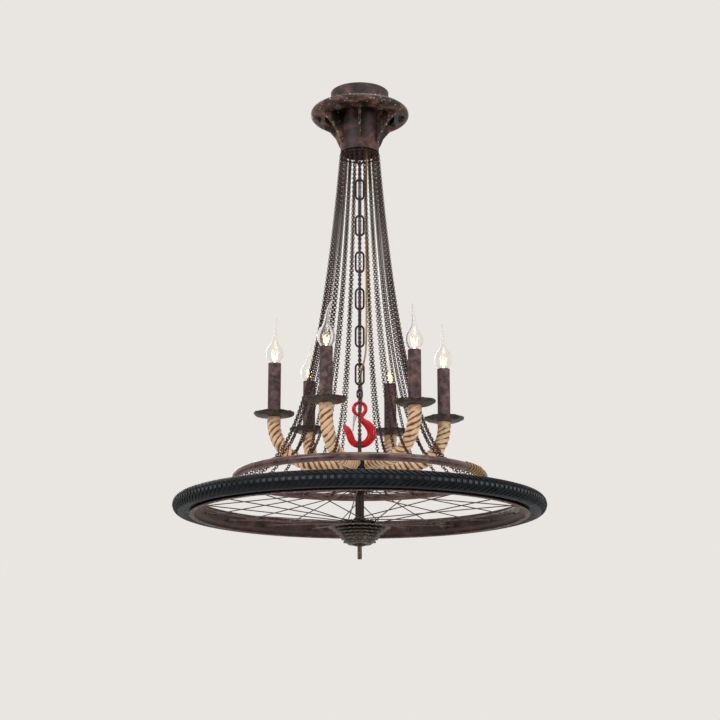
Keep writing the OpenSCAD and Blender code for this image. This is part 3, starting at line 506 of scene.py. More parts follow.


# laid jute: matt and hairy, with painted shade, brown in the valleys and pale on the crowns; the
# yarns of 1.6 mm are drawn 3 mm wide so that they show, on the strands before they were laid
rope_jute, tree, place = start_finish("laid_jute")
before = add(tree, "Attribute", attribute_name="before_laying").outputs["Vector"]
crown = add(tree, "Attribute", attribute_name="crown").outputs["Fac"]
yarn_size = add(tree, "Mapping", {"Vector": before,
                                  "Scale": (grains(3.03), grains(3.03), grains(22.2))})
yarns = add(tree, "TexNoise", {"Vector": yarn_size.outputs["Vector"], "Scale": 1.0,
                               "Detail": 5, "Roughness": 0.62}).outputs["Fac"]
stain = add(tree, "TexNoise", {"Vector": place, "Scale": grains(16.7),
                               "Detail": 5}).outputs["Fac"]
mix = share_of(tree, yarns, 1.9, -0.91)
# painted shade: the valleys between the strands darker and their crowns paler
mix = share_of(tree, crown, 0.53, share_of(tree, stain, 1.1, mix))
tone = add(tree, "ValToRGB", {"Fac": mix}, stops=[(0.42, "#452a18"), (0.66, "#855b3c"),
                                                  (0.86, "#bf936c"), (1.0, "#ecc9a2")])
relief = add(tree, "Bump", {"Height": yarns, "Distance": 1.2 * MM, "Strength": 1.0})
end_finish(tree, {"Base Color": tone.outputs["Color"], "Roughness": 0.88, "Sheen Weight": 0.15,
                  "Sheen Roughness": 0.5, "Normal": relief.outputs["Normal"]})

up = Vector((0, 0, 1))
for k, turn in enumerate(ARM_TURNS):
    out = Vector((math.cos(turn), math.sin(turn), 0))
    route = [out * (ROPE_FROM + (BEND_FROM - ROPE_FROM) * i / FLAT_STEPS) + up * ARM_Z
             for i in range(FLAT_STEPS)]
    route += [out * (BEND_FROM + BEND_R * math.sin(a)) + up * (ARM_Z + BEND_R * (1 - math.cos(a)))
              for a in (math.pi / 2 * i / BEND_STEPS for i in range(BEND_STEPS + 1))]
    route += [out * CANDLE_CIRCLE + up * (ARM_Z + BEND_R + (ROPE_TOP - ARM_Z - BEND_R)
                                          * i / UP_STEPS) for i in range(1, UP_STEPS + 1)]
    rope = laid_rope(route, START_STEP * k)
    settle(rope, "jute_rope_%d" % (k + 1), rope_jute, "frame", "rope_jute",
           "rope_arm_%d" % (k + 1))


def turned(name, profile, steps):
    """A piece turned about the Z axis from a closed profile of radius and height in mm."""
    mesh = bpy.data.meshes.new(name)
    points = [(r * MM, 0, z * MM) for r, z in profile]
    mesh.from_pydata(points, [(i, (i + 1) % len(points)) for i in range(len(points))], [])
    piece = bpy.data.objects.new(name, mesh)
    bpy.context.collection.objects.link(piece)
    pick(piece)
    bpy.ops.object.mode_set(mode="EDIT")
    bpy.ops.mesh.select_all(action="SELECT")
    bpy.ops.mesh.spin(steps=steps, angle=2 * math.pi, center=(0, 0, 0), axis=(0, 0, 1))
    bpy.ops.mesh.select_all(action="SELECT")
    bpy.ops.mesh.remove_doubles(threshold=0.01 * MM)
    bpy.ops.mesh.normals_make_consistent(inside=False)
    bpy.ops.object.mode_set(mode="OBJECT")
    bpy.ops.object.shade_smooth()
    return piece


def on_candle(turn, height):
    """The point at this height on the axis of the candle that stands at this turn."""
    return Vector((CANDLE_CIRCLE * math.cos(turn), CANDLE_CIRCLE * math.sin(turn), height))


# wound jute yarn: fine fibres, paler than the strands; its six turns are drawn as ridges
YARN_TURNS, YARN_PITCH = 6, 2.2
SERVING = [(11.4, -13.4), (12.6, -13.4)]  # radius and height under the pan, in mm
for wind in range(YARN_TURNS):
    SERVING += [(13.05, -12.3 + YARN_PITCH * wind), (12.75, -11.2 + YARN_PITCH * wind)]
SERVING += [(12.6, -0.05), (11.4, -0.05)]
served_jute, tree, place = start_finish("wound_jute_yarn")
fibre = add(tree, "TexNoise", {"Vector": place, "Scale": grains(1.43),
                               "Detail": 5}).outputs["Fac"]
stain = add(tree, "TexNoise", {"Vector": place, "Scale": grains(14.3),
                               "Detail": 4}).outputs["Fac"]
mix = share_of(tree, fibre, 0.5, share_of(tree, stain, 0.5, 0.0))
tone = add(tree, "ValToRGB", {"Fac": mix}, stops=[(0.4, "#936c4b"), (0.5, "#cda780"),
                                                  (0.58, "#eed2b0")])
relief = add(tree, "Bump", {"Height": fibre, "Distance": 0.6 * MM, "Strength": 1.0})
end_finish(tree, {"Base Color": tone.outputs["Color"], "Roughness": 0.88, "Sheen Weight": 0.15,
                  "Sheen Roughness": 0.5, "Normal": relief.outputs["Normal"]})
serving = turned("serving", SERVING, 48)
servings = joined([twin_of(serving, Matrix.Translation(on_candle(turn, PAN_Z)))
                   for turn in ARM_TURNS])
bpy.data.objects.remove(serving)
settle(servings, "rope_servings", served_jute, "frame", "rope_jute")


# Drip pans
# Shallow dishes of hammered iron on top of the ropes, with a rolled lip. The hammer leaves
# flat dimples of about 5 mm that catch the light, and the blackening is chipped in specks.

PAN_PROFILE = (  # radius and height over the rope's end, in mm
    (6.6, 0.0), (12.0, 0.0), (18.0, 0.0), (24.0, 0.7), (30.0, 1.6), (34.0, 3.4),
    (37.5, 5.4), (39.1, 7.2), (39.5, 8.0), (39.1, 8.6), (38.3, 8.6), (36.5, 6.8),
    (33.0, 4.8), (29.4, 3.0), (24.0, 2.0), (18.0, 1.5), (15.0, 3.3), (10.0, 3.3),
    (6.6, 3.3))
HAMMER_FROM, HAMMER_GROWS = 17 * MM, 22 * MM  # marks start at this radius and grow over this
DIMPLE, DIMPLE_DEPTH = 5 * MM, 0.9 * MM
LIP_WAVES = 3  # waves round the lip, each of its own length and height

# hammered iron: dark and half bare, with a shine on each dimple
pan_iron = aged_iron("hammered_iron", [(0.34, "#171211"), (0.46, "#2f2623"), (0.56, "#4b3d38"),
                                       (0.7, "#6f6453")], 12, chip="#b3a58e", chipped=0.63,
                     gloss=(0.25, 0.5), pit=0.3, metal=0.35, shine=0.5)
dents = random.Random(4)
pans = []
for turn in ARM_TURNS:
    pan = turned("pan", PAN_PROFILE, 72)
    waves = [(dents.uniform(0, 6.28), dents.choice((2, 3, 5, 7)), dents.uniform(0.3, 0.7))
             for i in range(LIP_WAVES)]
    modify(pan, "SUBSURF", levels=1, render_levels=1)
    for corner in pan.data.vertices:
        r = math.hypot(corner.co.x, corner.co.y)
        share = max(0.0, (r - HAMMER_FROM) / HAMMER_GROWS)
        a = math.atan2(corner.co.y, corner.co.x)
        corner.co.z += sum(h * MM * share * math.sin(n * a + p) for p, n, h in waves)
        dent = noise.noise((corner.co + Vector((turn, 0, 0))) / DIMPLE)
        corner.co += corner.normal * DIMPLE_DEPTH * min(1.0, share) * dent
    pan.data.transform(Matrix.Translation(on_candle(turn, PAN_Z)))
    pans.append(pan)
settle(joined(pans), "hammered_pans", pan_iron, "frame", "pan_iron", "drip_pans")


# Candle sleeves
# Steel tubes over the lamp holders, painted and rusted to a mottled reddish brown. Inside
# each stands a black moulded lamp holder, with the lamp's brass screw cap in it.

sleeve_rust = aged_iron("mottled_rust_paint", [(0.34, "#271b1a"), (0.44, "#433231"),
                                               (0.54, "#614a49"), (0.64, "#775a50"),
                                               (0.74, "#8f7b77")],
                        13, chip="#a58f80", chipped=0.69, gloss=(0.55, 0.8), pit=0.25)
dress(sleeve_rust, "candle_sleeves")

# moulded bakelite: black, with a soft shine
bakelite, tree, place = start_finish("moulded_bakelite")
peel = add(tree, "TexNoise", {"Vector": place, "Scale": grains(1.67),
                              "Detail": 2}).outputs["Fac"]
tone = add(tree, "ValToRGB", {"Fac": peel}, stops=[(0.3, "#141415"), (0.7, "#232325")])
end_finish(tree, {"Base Color": tone.outputs["Color"], "Roughness": 0.35})
dress(bakelite, "lamp_holders")

# drawn brass: yellow and bright, tarnished in patches of 4 to 5 mm
brass, tree, place = start_finish("drawn_brass")
tarnish = add(tree, "TexNoise", {"Vector": place, "Scale": grains(4.55),
                                 "Detail": 4}).outputs["Fac"]
tone = add(tree, "ValToRGB", {"Fac": tarnish}, stops=[(0.3, "#a6823f"), (0.7, "#d3b267")])
end_finish(tree, {"Base Color": tone.outputs["Color"], "Metallic": 1.0, "Roughness": 0.3})
dress(brass, "bulb_caps")


# Bulbs
# Clear flame lamps: thin blown glass with a tip drawn out by hand, bent another way on each.
# Inside, a short stem carries a zigzag of tungsten. The lamp is on, so the zigzag glows warm
# white; the stem is given the same glow, as painted light.

BULB_Z = WHEEL_Z + 276.4 * MM
TIP_TURNS = (0, 180, 200, 150, 0, 10)  # degrees from +X
TIP_BENDS = (9, 3, 2, 4, 7, 3)  # mm
TIP_FROM, TIP_LENGTH, TIP_GAIN = 48 * MM, 45.2 * MM, 1.12
GLASS_WALL = 0.8 * MM
BULB_PROFILE = (  # height above the sleeve and radius, in mm
    (-18.5, 6.1), (-6, 6.1), (0, 6.3), (2.5, 7.6), (5, 9.8), (8, 12.4), (12, 15.0),
    (16, 16.7), (20.5, 17.5), (25, 17.3), (29, 16.2), (33, 14.5), (37, 12.1), (41, 9.4),
    (45, 7.0), (49, 5.4), (53.5, 4.6), (59, 4.1), (65, 3.7), (70.5, 3.3), (76, 2.9),
    (82, 2.4), (86.5, 1.9), (90.5, 1.5), (93.2, 0.8))
STEM = ((-17, 2.4), (-8, 2.4), (0, 2.2), (5, 1.8), (9, 1.6), (10, 0.6))  # the same
COIL_KNEES, COIL_R, COIL_LOW, COIL_HIGH = 10, 5.5, 11.0, 24.0  # radius and heights in mm
COIL_WIRE = 0.45 * MM

# blown glass: clear and thin, with slow ripples that bend the highlights
glass, tree, place = start_finish("blown_clear_glass")
ripple = add(tree, "TexNoise", {"Vector": place, "Scale": grains(16.7),
                                "Detail": 2}).outputs["Fac"]
relief = add(tree, "Bump", {"Height": ripple, "Distance": 0.2 * MM, "Strength": 1.0})
end_finish(tree, {"Base Color": linear("#fefcf8"), "Transmission Weight": 1.0,
                  "Roughness": 0.01, "IOR": 1.46, "Normal": relief.outputs["Normal"]})

# tungsten at work: it glows warm white, and yellower where it is cooler; on the stems it is a
# painted glow
glow, tree, place = start_finish("glowing_tungsten")
heat = add(tree, "TexNoise", {"Vector": place, "Scale": grains(3.33),
                              "Detail": 2}).outputs["Fac"]
tone = add(tree, "ValToRGB", {"Fac": heat}, stops=[(0.3, "#ffbe66"), (0.7, "#ffe6bd")])
end_finish(tree, {"Base Color": linear("#8a8078"), "Emission Color": tone.outputs["Color"],
                  "Emission Strength": 6.0, "Roughness": 0.5})

shells, coils_and_glowing_stems = [], []
for turn, tip, bend in zip(ARM_TURNS, TIP_TURNS, TIP_BENDS):
    centre = on_candle(turn, BULB_Z)
    lean = Vector((math.cos(math.radians(tip)), math.sin(math.radians(tip)), 0))
    bpy.ops.mesh.primitive_circle_add(vertices=32, radius=BULB_PROFILE[0][1] * MM,
                                      location=(0, 0, BULB_PROFILE[0][0] * MM))
    shell = bpy.context.object
    bpy.ops.object.transform_apply(location=True)
    bpy.ops.object.mode_set(mode="EDIT")
    for (z0, r0), (z1, r1) in zip(BULB_PROFILE, BULB_PROFILE[1:]):
        bpy.ops.mesh.extrude_region_move(
            TRANSFORM_OT_translate={"value": (0, 0, (z1 - z0) * MM)})
        bpy.ops.transform.resize(value=(r1 / r0, r1 / r0, 1), center_override=(0, 0, 0))
    bpy.ops.mesh.merge(type="CENTER")
    bpy.ops.mesh.select_all(action="SELECT")
    bpy.ops.mesh.normals_make_consistent(inside=False)
    bpy.ops.object.mode_set(mode="OBJECT")
    for corner in shell.data.vertices:
        share = max(0.0, (corner.co.z - TIP_FROM) / TIP_LENGTH)
        corner.co += lean * bend * TIP_GAIN * MM * share ** 2
    modify(shell, "SOLIDIFY", thickness=GLASS_WALL, offset=-1)
    modify(shell, "SUBSURF", levels=1, render_levels=1)
    bpy.ops.object.shade_smooth()
    shell.data.transform(Matrix.Translation(centre))
    shells.append(shell)
    knees = []
    for i in range(COIL_KNEES):
        a = 2 * math.pi * i / COIL_KNEES
        reach = COIL_R * (0.8 + 0.3 * (i % 2))
        knees.append((reach * math.cos(a), reach * math.sin(a), COIL_HIGH if i % 2 else COIL_LOW))
    zigzag = [tuple(centre + Vector(p) * MM) for p in smooth_line(knees, 4)]
    coils_and_glowing_stems.append(to_mesh(rod("coil", zigzag, [COIL_WIRE] * len(zigzag), 1)))
    # the stem wears the glowing tungsten too: a painted glow for the light it catches from the
    # coil
    stem = [tuple(centre + Vector((0, 0, z)) * MM) for z, r in STEM]
    coils_and_glowing_stems.append(to_mesh(rod("stem", stem, [r * MM for z, r in STEM], 3)))
settle(joined(shells), "flame_bulbs", glass, "frame", "bulb_glass", "bulbs")
filaments = joined(coils_and_glowing_stems)
bpy.ops.object.shade_smooth()
settle(filaments, "glowing_filaments", glow, "frame", "filament", "filaments")


# Lamp flex
# Round two-core flex in clear golden plastic, 3.8 mm thick. It leaves the terminal block,
# hangs down beside the chain, passes behind the hook and ends in the arm hub.

FLEX_THICK = 3.8 * MM
FLEX_LINE = (  # x, y and height over the wheel's middle plane, in mm
    (26, 0, 842), (26, 0, 833), (22, -2, 793), (15, -5, 753), (13.5, -5, 660),
    (13.2, -5, 560), (13.2, -5, 460), (13.2, -5, 380), (13, -5, 340), (12, -6, 310),
    (9, -6, 290), (5, -3.5, 275), (2.6, 0.5, 265), (2, 5, 256), (3, 8.5, 246),
    (4, 10, 234), (4, 11, 220), (3, 12, 200), (1, 13.5, 180), (0, 17, 160), (0, 20, 140),
    (0, 20.5, 124), (0, 19, 112), (0, 17, 104), (0, 16, 97.5))
route = [(x * MM, y * MM, WHEEL_Z + z * MM) for x, y, z in smooth_line(FLEX_LINE, 3)]
flex = rod("lamp_flex", route, [FLEX_THICK / 2] * len(route), 4)

# soft PVC: honey-coloured, half clear, with a soft shine
sheath, tree, place = start_finish("golden_clear_pvc")
drift = add(tree, "TexNoise", {"Vector": place, "Scale": grains(12.5),
                               "Detail": 3}).outputs["Fac"]
tone = add(tree, "ValToRGB", {"Fac": drift}, stops=[(0.3, "#a07328"), (0.7, "#c79a4a")])
end_finish(tree, {"Base Color": tone.outputs["Color"], "Roughness": 0.22, "IOR": 1.53,
                  "Transmission Weight": 0.25, "Coat Weight": 0.3})
settle(flex, "lamp_flex", sheath, "frame", "flex_sheath", "power_flex")


# Wheel hub and spokes
# A turned steel hub shell on balls and cones. 36 drawn spokes run from its flanges to brass
# nipples in the rim, crossed three times on each side. All but the balls is dull and browned.

hub_brown = aged_iron("browned_hub_steel", [(0.34, "#0f0e0d"), (0.48, "#1e1916"),
                                            (0.62, "#3d2721")], 14, chip="#8d7a68",
                      chipped=0.69, gloss=(0.4, 0.65), metal=0.2)
dress(hub_brown, "hub_shell")

# browned spoke wire: smoother and paler than the hub, so each wire shows as a thin light line
spoke_steel = aged_iron("browned_spoke_wire", [(0.36, "#33261f"), (0.5, "#54453b"),
                                               (0.66, "#7b6a5b")], 8, chip="#a89a88",
                        chipped=0.66, gloss=(0.35, 0.6), pit=0.05, metal=0.5)
dress(spoke_steel, "spokes_upper", "spokes_lower")

# old brass: brown, with little of its yellow left
dull_brass, tree, place = start_finish("dull_nipple_brass")
tarnish = add(tree, "TexNoise", {"Vector": place, "Scale": grains(3.33),
                                 "Detail": 4}).outputs["Fac"]
tone = add(tree, "ValToRGB", {"Fac": tarnish}, stops=[(0.3, "#2f271c"), (0.7, "#61523a")])
end_finish(tree, {"Base Color": tone.outputs["Color"], "Metallic": 0.5, "Roughness": 0.5})
dress(dull_brass, "nipples")

# polished steel: a bright mirror with a little haze
polished, tree, place = start_finish("polished_steel")
haze = add(tree, "TexNoise", {"Vector": place, "Scale": grains(2.5),
                              "Detail": 3}).outputs["Fac"]
tone = add(tree, "ValToRGB", {"Fac": haze}, stops=[(0.3, "#c6c7c9"), (0.7, "#dcdddf")])
end_finish(tree, {"Base Color": tone.outputs["Color"], "Metallic": 1.0, "Roughness": 0.12})
dress(polished, "bearing_balls")

# dull turned steel: grey brown and half bare, paler than what was browned
axle_steel = aged_iron("dull_axle_steel", [(0.34, "#3a332e"), (0.5, "#5e564e"),
                                           (0.66, "#857b70")], 7, chip="#a89d8e",
                       chipped=0.68, gloss=(0.35, 0.55), pit=0.08, metal=0.7)
dress(axle_steel, "axle", "axle_cones", "axle_nut", "valve")


# Rim
# A rolled steel rim with a deep well. The old paint is rusted dark brown, and along the two
# lips it is rubbed and chipped down to pale primer and metal.

LIP_FROM, LIP_BARE = 16.4 * MM, 17.5 * MM  # from the wheel's middle plane

# rusted paint: brown blotches of 26 mm, matt where the rust is through
rim_rust, tree, place = start_finish("rusted_rim_paint")
cloud = add(tree, "TexNoise", {"Vector": place, "Scale": grains(26.3), "Detail": 8,
                               "Roughness": 0.62, "Distortion": 0.4}).outputs["Fac"]
grain = add(tree, "TexNoise", {"Vector": place, "Scale": grains(3.85),
                               "Detail": 6}).outputs["Fac"]
colour = add(tree, "ValToRGB", {"Fac": cloud}, stops=[(0.34, "#190f0c"), (0.47, "#2e1d18"),
                                                      (0.58, "#462d27"), (0.7, "#664539")])
parts = add(tree, "SeparateXYZ", {"Vector": place})
height = add(tree, "Math", {0: parts.outputs["Z"], 1: -WHEEL_Z}, operation="ADD").outputs[0]
height = add(tree, "Math", {0: height}, operation="ABSOLUTE").outputs[0]
lip = add(tree, "MapRange", {"Value": height, "From Min": LIP_FROM, "From Max": LIP_BARE})
worn = add(tree, "Math", {0: grain, 1: lip.outputs["Result"]}, operation="MULTIPLY")
worn = add(tree, "MapRange", {"Value": worn.outputs[0], "From Min": 0.54, "From Max": 0.6})
mixed = add(tree, "Mix", {0: worn.outputs["Result"], 6: colour.outputs["Color"],
                          7: linear("#a38a7b")}, data_type="RGBA").outputs[2]
rough = add(tree, "MapRange", {"Value": cloud, "From Min": 0.35, "From Max": 0.65,
                               "To Min": 0.4, "To Max": 0.7}).outputs["Result"]
relief = add(tree, "Bump", {"Height": grain, "Distance": 0.2 * MM, "Strength": 1.0})
end_finish(tree, {"Base Color": mixed, "Roughness": rough, "Specular IOR Level": 0.35,
                  "Normal": relief.outputs["Normal"]})
dress(rim_rust, "rim")


# Tyre
# A moulded rubber roadster tyre of 28 inches. Its tread has a row of blocks in the middle and
# slanted ribs on both shoulders, 180 to the turn, over a smooth sidewall with two rings.

TYRE_R, SECTION_R = 357.4 * MM, 15.9 * MM
TREAD = 1.5 * MM
PITCHES, ROWS = 180, 6  # repeats of the tread, and rows of faces in each
BLOCK_TO, RIB_FROM, RIB_TO = 11, 21, 62  # degrees from the middle of the tread
RIB_LEAD, RIB_SLANT = 0.5, 1.1  # in pitches
RINGS_AT = (104, 86)  # degrees
SIDEWALL_SINK, RING_HIGH = 0.5 * MM, 0.5 * MM
LINING = 999  # marks the points of the inside, which has no tread


def tyre_profile():
    """The closed section of the tyre: the outside from the lower bead round to the upper one,
    then the inside back again. Each point has its angle from the middle of the tread."""
    middle, base = TYRE_R - SECTION_R, SECTION_R - TREAD
    outer = [-132, -118, -108, -104, -96, -90, -86, -78, -70, -RIB_TO, -56, -50, -44, -38, -32,
             -26, -RIB_FROM, -17, -BLOCK_TO, -5.5, 0]
    outer += [-a for a in reversed(outer[:-1])]
    points = []
    for degrees in outer:
        a = math.radians(degrees)
        ring = RING_HIGH if abs(degrees) in RINGS_AT else 0.0
        r = base if abs(degrees) <= RIB_TO else SECTION_R - SIDEWALL_SINK + ring
        points.append((middle + r * math.cos(a), r * math.sin(a), degrees))
    inside = [(317.9 * MM, 13.0 * MM), (317.9 * MM, 10.0 * MM), (333 * MM, 9.5 * MM),
              (345 * MM, 10.5 * MM), (351.5 * MM, 5.5 * MM), (353.5 * MM, 0)]
    inside += [(r, -z) for r, z in reversed(inside[:-1])]
    return points + [(r, z, LINING) for r, z in inside]


# one pitch of the tyre, with its block and ribs raised, is copied round the wheel
profile = tyre_profile()
mesh = bpy.data.meshes.new("tyre_pitch")
verts, faces = [], []
for row in range(ROWS + 1):
    for r, z, degrees in profile:
        slant = 0.0
        if RIB_FROM <= abs(degrees) <= RIB_TO:
            slant = RIB_LEAD - RIB_SLANT * (abs(degrees) - RIB_FROM) / (RIB_TO - RIB_FROM)
        turn = 2 * math.pi / PITCHES * (row / ROWS + slant)
        verts.append((r * math.cos(turn), r * math.sin(turn), z))
count = len(profile)
for row in range(ROWS):
    for j in range(count):
        a, b = row * count + j, row * count + (j + 1) % count
        faces.append((a, a + count, b + count, b))
mesh.from_pydata(verts, [], faces)
pitch = bpy.data.objects.new("tyre_pitch", mesh)
bpy.context.collection.objects.link(pitch)
pick(pitch)
bpy.ops.object.mode_set(mode="EDIT")
bpy.ops.mesh.select_mode(type="FACE")
bpy.ops.mesh.select_all(action="DESELECT")
bpy.ops.object.mode_set(mode="OBJECT")
for face in mesh.polygons:
    row, j = divmod(face.index, count)
    degrees = (profile[j][2] + profile[(j + 1) % count][2]) / 2
    middle_block = abs(degrees) < BLOCK_TO and row in (0, 1, 2)
    shoulder_rib = RIB_FROM < abs(degrees) < RIB_TO and row in (1, 2, 3)
    face.select = middle_block or shoulder_rib
bpy.ops.object.mode_set(mode="EDIT")
bpy.ops.mesh.extrude_region_shrink_fatten(TRANSFORM_OT_shrink_fatten={"value": TREAD})
bpy.ops.object.mode_set(mode="OBJECT")
tyre = joined([twin_of(pitch, Matrix.Rotation(2 * math.pi * i / PITCHES, 4, "Z"))
               for i in range(PITCHES)])
bpy.data.objects.remove(pitch)
bpy.ops.object.mode_set(mode="EDIT")
bpy.ops.mesh.select_all(action="SELECT")
bpy.ops.mesh.remove_doubles(threshold=0.02 * MM)
bpy.ops.mesh.normals_make_consistent(inside=False)
bpy.ops.object.mode_set(mode="OBJECT")
tyre.data.transform(Matrix.Translation((0, 0, WHEEL_Z)))
bpy.ops.object.shade_smooth_by_angle(angle=math.radians(32))

# moulded rubber: blue black, with the faint bloom of age; the tops of the middle blocks are
# painted grey, here more and there less, as road scuff and as a painted highlight
rubber, tree, place = start_finish("moulded_tyre_rubber")
bloom = add(tree, "TexNoise", {"Vector": place, "Scale": grains(16.7),
                               "Detail": 6}).outputs["Fac"]
grit = add(tree, "TexNoise", {"Vector": place, "Scale": grains(1.11),
                              "Detail": 3}).outputs["Fac"]
tone = add(tree, "ValToRGB", {"Fac": bloom}, stops=[(0.35, "#0b0d0f"), (0.55, "#12161a"),
                                                    (0.72, "#1c2228")])
road = add(tree, "TexNoise", {"Vector": place, "Scale": grains(90.9),
                              "Detail": 4}).outputs["Fac"]
rubbed = add(tree, "MapRange", {"Value": road, "From Min": 0.4, "From Max": 0.62,
                                "To Min": 0.1, "To Max": 0.8}).outputs["Result"]
# painted highlight and scuff: the block tops nearest the outer radius are painted grey
spot = add(tree, "Mapping", {"Vector": place, "Scale": (1, 1, 0)})
reach = add(tree, "VectorMath", {0: spot.outputs["Vector"]}, operation="LENGTH").outputs["Value"]
scuff_and_painted_highlight = add(tree, "MapRange", {"Value": reach, "From Min": TYRE_R - 0.4 * MM,
                                 "From Max": TYRE_R - 0.1 * MM})
scuff_and_painted_highlight = add(tree, "Math", {0: scuff_and_painted_highlight.outputs["Result"], 1: rubbed}, operation="MULTIPLY")
mixed = add(tree, "Mix", {0: scuff_and_painted_highlight.outputs[0], 6: tone.outputs["Color"],
                          7: linear("#4f565d")}, data_type="RGBA").outputs[2]
rough = add(tree, "MapRange", {"Value": bloom, "From Min": 0.35, "From Max": 0.7,
                               "To Min": 0.38, "To Max": 0.6}).outputs["Result"]
relief = add(tree, "Bump", {"Height": grit, "Distance": 0.08 * MM, "Strength": 1.0})
end_finish(tree, {"Base Color": mixed, "Roughness": rough, "Specular IOR Level": 0.15,
                  "Normal": relief.outputs["Normal"]})
settle(tyre, "roadster_tyre", rubber, "wheel", "tyre_rubber", "tyre")

# butyl rubber: plain black, without the tyre's bloom
butyl, tree, place = start_finish("butyl_inner_tube")
tone = add(tree, "TexNoise", {"Vector": place, "Scale": grains(8.33),
                              "Detail": 3}).outputs["Fac"]
tone = add(tree, "ValToRGB", {"Fac": tone}, stops=[(0.3, "#1c1c1c"), (0.7, "#2b2b2b")])
end_finish(tree, {"Base Color": tone.outputs["Color"], "Roughness": 0.6})
dress(butyl, "inner_tube")


# Freewheel
# Six stamped steel sprockets on a turned body that screws onto the hub. Old oil has darkened
# their faces in patches; the rims and teeth are painted brighter, as chain wear and painted
# highlight.

MARK_GAP = 4.49  # mm between turning marks: real ones are too fine to show at this size
RINGS = 20 / (2 * math.pi)  # rings in one unit of a ring wave at Scale 1

# oiled steel: brown black faces with a low shine, and rims painted a grey sheen: wear and painted
# highlight
cog_steel, tree, place = start_finish("oiled_sprocket_steel")
oil = add(tree, "TexNoise", {"Vector": place, "Scale": grains(11.1),
                             "Detail": 6}).outputs["Fac"]
marks = add(tree, "TexWave", {"Vector": place, "Scale": grains(MARK_GAP) / RINGS,
                              "Distortion": 0.4},
            wave_type="RINGS", rings_direction="Z").outputs["Fac"]
tone = add(tree, "ValToRGB", {"Fac": oil}, stops=[(0.34, "#1b1715"), (0.5, "#332d29"),
                                                  (0.66, "#57504a")])
# painted highlight and wear: faces that look sideways, the rims and teeth, are painted paler grey
facing = add(tree, "SeparateXYZ", {0: add(tree, "TexCoord").outputs["Normal"]}).outputs["Z"]
facing = add(tree, "Math", {0: facing}, operation="ABSOLUTE").outputs[0]
rubbed = add(tree, "MapRange", {"Value": facing, "From Min": 0.2, "From Max": 0.7,
                                "To Min": 0.6, "To Max": 0.0}).outputs["Result"]
mixed = add(tree, "Mix", {0: rubbed, 6: tone.outputs["Color"], 7: linear("#857a6f")},
            data_type="RGBA").outputs[2]
relief = add(tree, "Bump", {"Height": marks, "Distance": 0.05 * MM, "Strength": 0.6})
end_finish(tree, {"Base Color": mixed, "Metallic": 0.6, "Roughness": 0.42,
                  "Normal": relief.outputs["Normal"]})
dress(cog_steel, "freewheel_core", "freewheel_body", *["sprocket_%d" % k for k in range(1, 7)])


# Hoop
# A ring of steel tube, 15 mm thick, with 24 wire eyes welded inside it for the chains. It is
# painted brown with a satin shine. A flat jute cord is wound six times round one stretch.

hoop_paint = aged_iron("satin_brown_paint", [(0.32, "#2f1f1d"), (0.43, "#482e2e"),
                                             (0.53, "#5f4240"), (0.63, "#655641"),
                                             (0.74, "#82615b")],
                       26, chip="#b49c88", chipped=0.7, gloss=(0.2, 0.38), pit=0.1, shine=0.5)
dress(hoop_paint, "hoop")

# flat jute cord: golden on top and dark between its fibres, which are drawn 1.1 mm wide
whip_jute, tree, place = start_finish("flat_jute_cord")
fibre = add(tree, "TexNoise", {"Vector": place, "Scale": grains(1.11),
                               "Detail": 4}).outputs["Fac"]
tone = add(tree, "ValToRGB", {"Fac": fibre}, stops=[(0.34, "#5e4224"), (0.5, "#a57b42"),
                                                    (0.66, "#d9b77e")])
relief = add(tree, "Bump", {"Height": fibre, "Distance": 0.4 * MM, "Strength": 1.0})
end_finish(tree, {"Base Color": tone.outputs["Color"], "Roughness": 0.85,
                  "Normal": relief.outputs["Normal"]})
dress(whip_jute, "hoop_whipping")


# Chain curtain
# 24 strands of welded links, 8.6 mm long, hang from the ring under the collar to the eyes in
# the hoop. All hang in one curve, a catenary, and their links turn a little along the way.

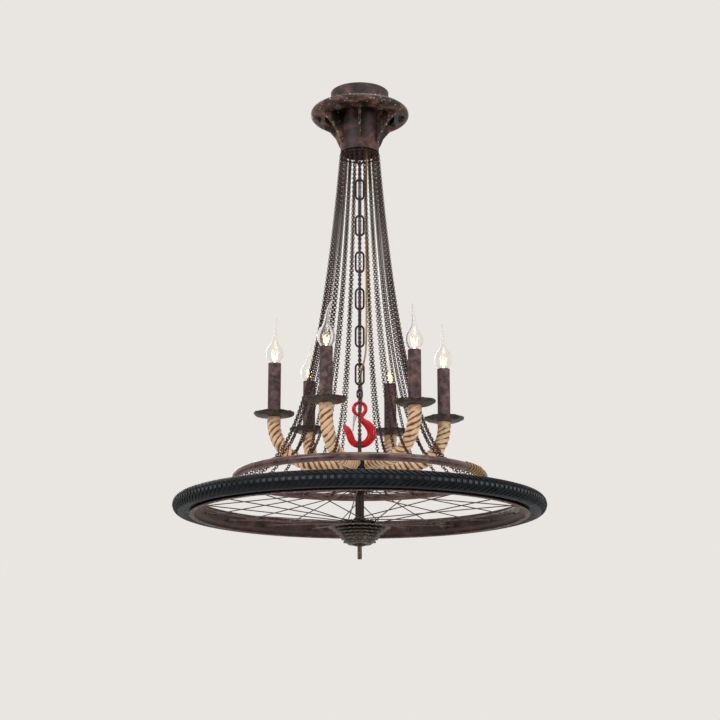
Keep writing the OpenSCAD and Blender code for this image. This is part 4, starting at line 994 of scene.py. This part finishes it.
STRANDS, GROUPS = 24, 6
LINK_R, LINK_WIRE, SLACK = 3.4 * MM, 0.9 * MM, 0.25 * MM
LINK_PITCH = 2 * (LINK_R - LINK_WIRE) - SLACK
LINK_SQUEEZE = 0.88  # a link's width for its length
LOOSE_TWIST = 35  # degrees that the middle of a strand may turn
HOOP_Z = WHEEL_Z + 56.5 * MM
EYE_AT = 226.7 * MM  # from the light's axis to the middle of an eye in the hoop
HOOP_EYE_R, HOOP_EYE_WIRE = 4.2 * MM, 1.3 * MM
LAST_HANG = 0.9 * MM  # from the strand's upper end to the middle of its last link
RUN, RISE = 189.2 * MM, 661.0 * MM  # of a strand, from its eye in the hoop to the ring

# the catenary's lowest point is at the hoop; halving finds the sag that gives it its rise
low, high = 25 * MM, 200 * MM
for i in range(40):
    sag = (low + high) / 2
    if sag * (math.cosh(RUN / sag) - 1) > RISE:
        low = sag
    else:
        high = sag
first = HOOP_EYE_R - HOOP_EYE_WIRE - LINK_WIRE - SLACK + LINK_R
last = sag * math.sinh(RUN / sag) - LAST_HANG
gaps = round((last - first) / LINK_PITCH / 2 - 0.5) * 2 + 1  # odd: the last link is edge on

# browned wire: darker and warmer than the central chain, with the same small glints
curtain_iron = aged_iron("browned_curtain_iron", [(0.33, "#180d0b"), (0.45, "#301a14"),
                                                  (0.57, "#43271f"), (0.7, "#683e2f")],
                         9, chip="#a8917d", chipped=0.7, gloss=(0.35, 0.55), metal=0.1)
bpy.ops.mesh.primitive_torus_add(major_segments=12, minor_segments=5, major_radius=LINK_R,
                                 minor_radius=LINK_WIRE)
link = bpy.context.object
link.data.transform(Matrix.Diagonal((1, LINK_SQUEEZE, 1, 1)))
bpy.ops.object.shade_smooth()
swing = random.Random(11)
for group in range(GROUPS):
    links = []
    for k in range(STRANDS // GROUPS):
        turn = math.radians((group * STRANDS // GROUPS + k) * 360 / STRANDS - 90)
        twist = math.radians(swing.uniform(-LOOSE_TWIST, LOOSE_TWIST))
        for i in range(gaps + 1):
            s = first + (last - first) * i / gaps
            x = EYE_AT - sag * math.asinh(s / sag)
            z = HOOP_Z + sag * (math.sqrt(1 + (s / sag) ** 2) - 1)
            roll = twist * math.sin(math.pi * i / gaps) ** 2 + (math.pi / 2 if i % 2 else 0)
            links.append(twin_of(link, Matrix.Rotation(turn, 4, "Z")
                                 @ Matrix.Translation((x, 0, z))
                                 @ Matrix.Rotation(math.atan(s / sag), 4, "Y")
                                 @ Matrix.Rotation(roll, 4, "X")))
    settle(joined(links), "chain_strands_%d" % (group + 1), curtain_iron, "frame",
           "chain_iron", "curtain_chain_%d" % (group + 1))
bpy.data.objects.remove(link)
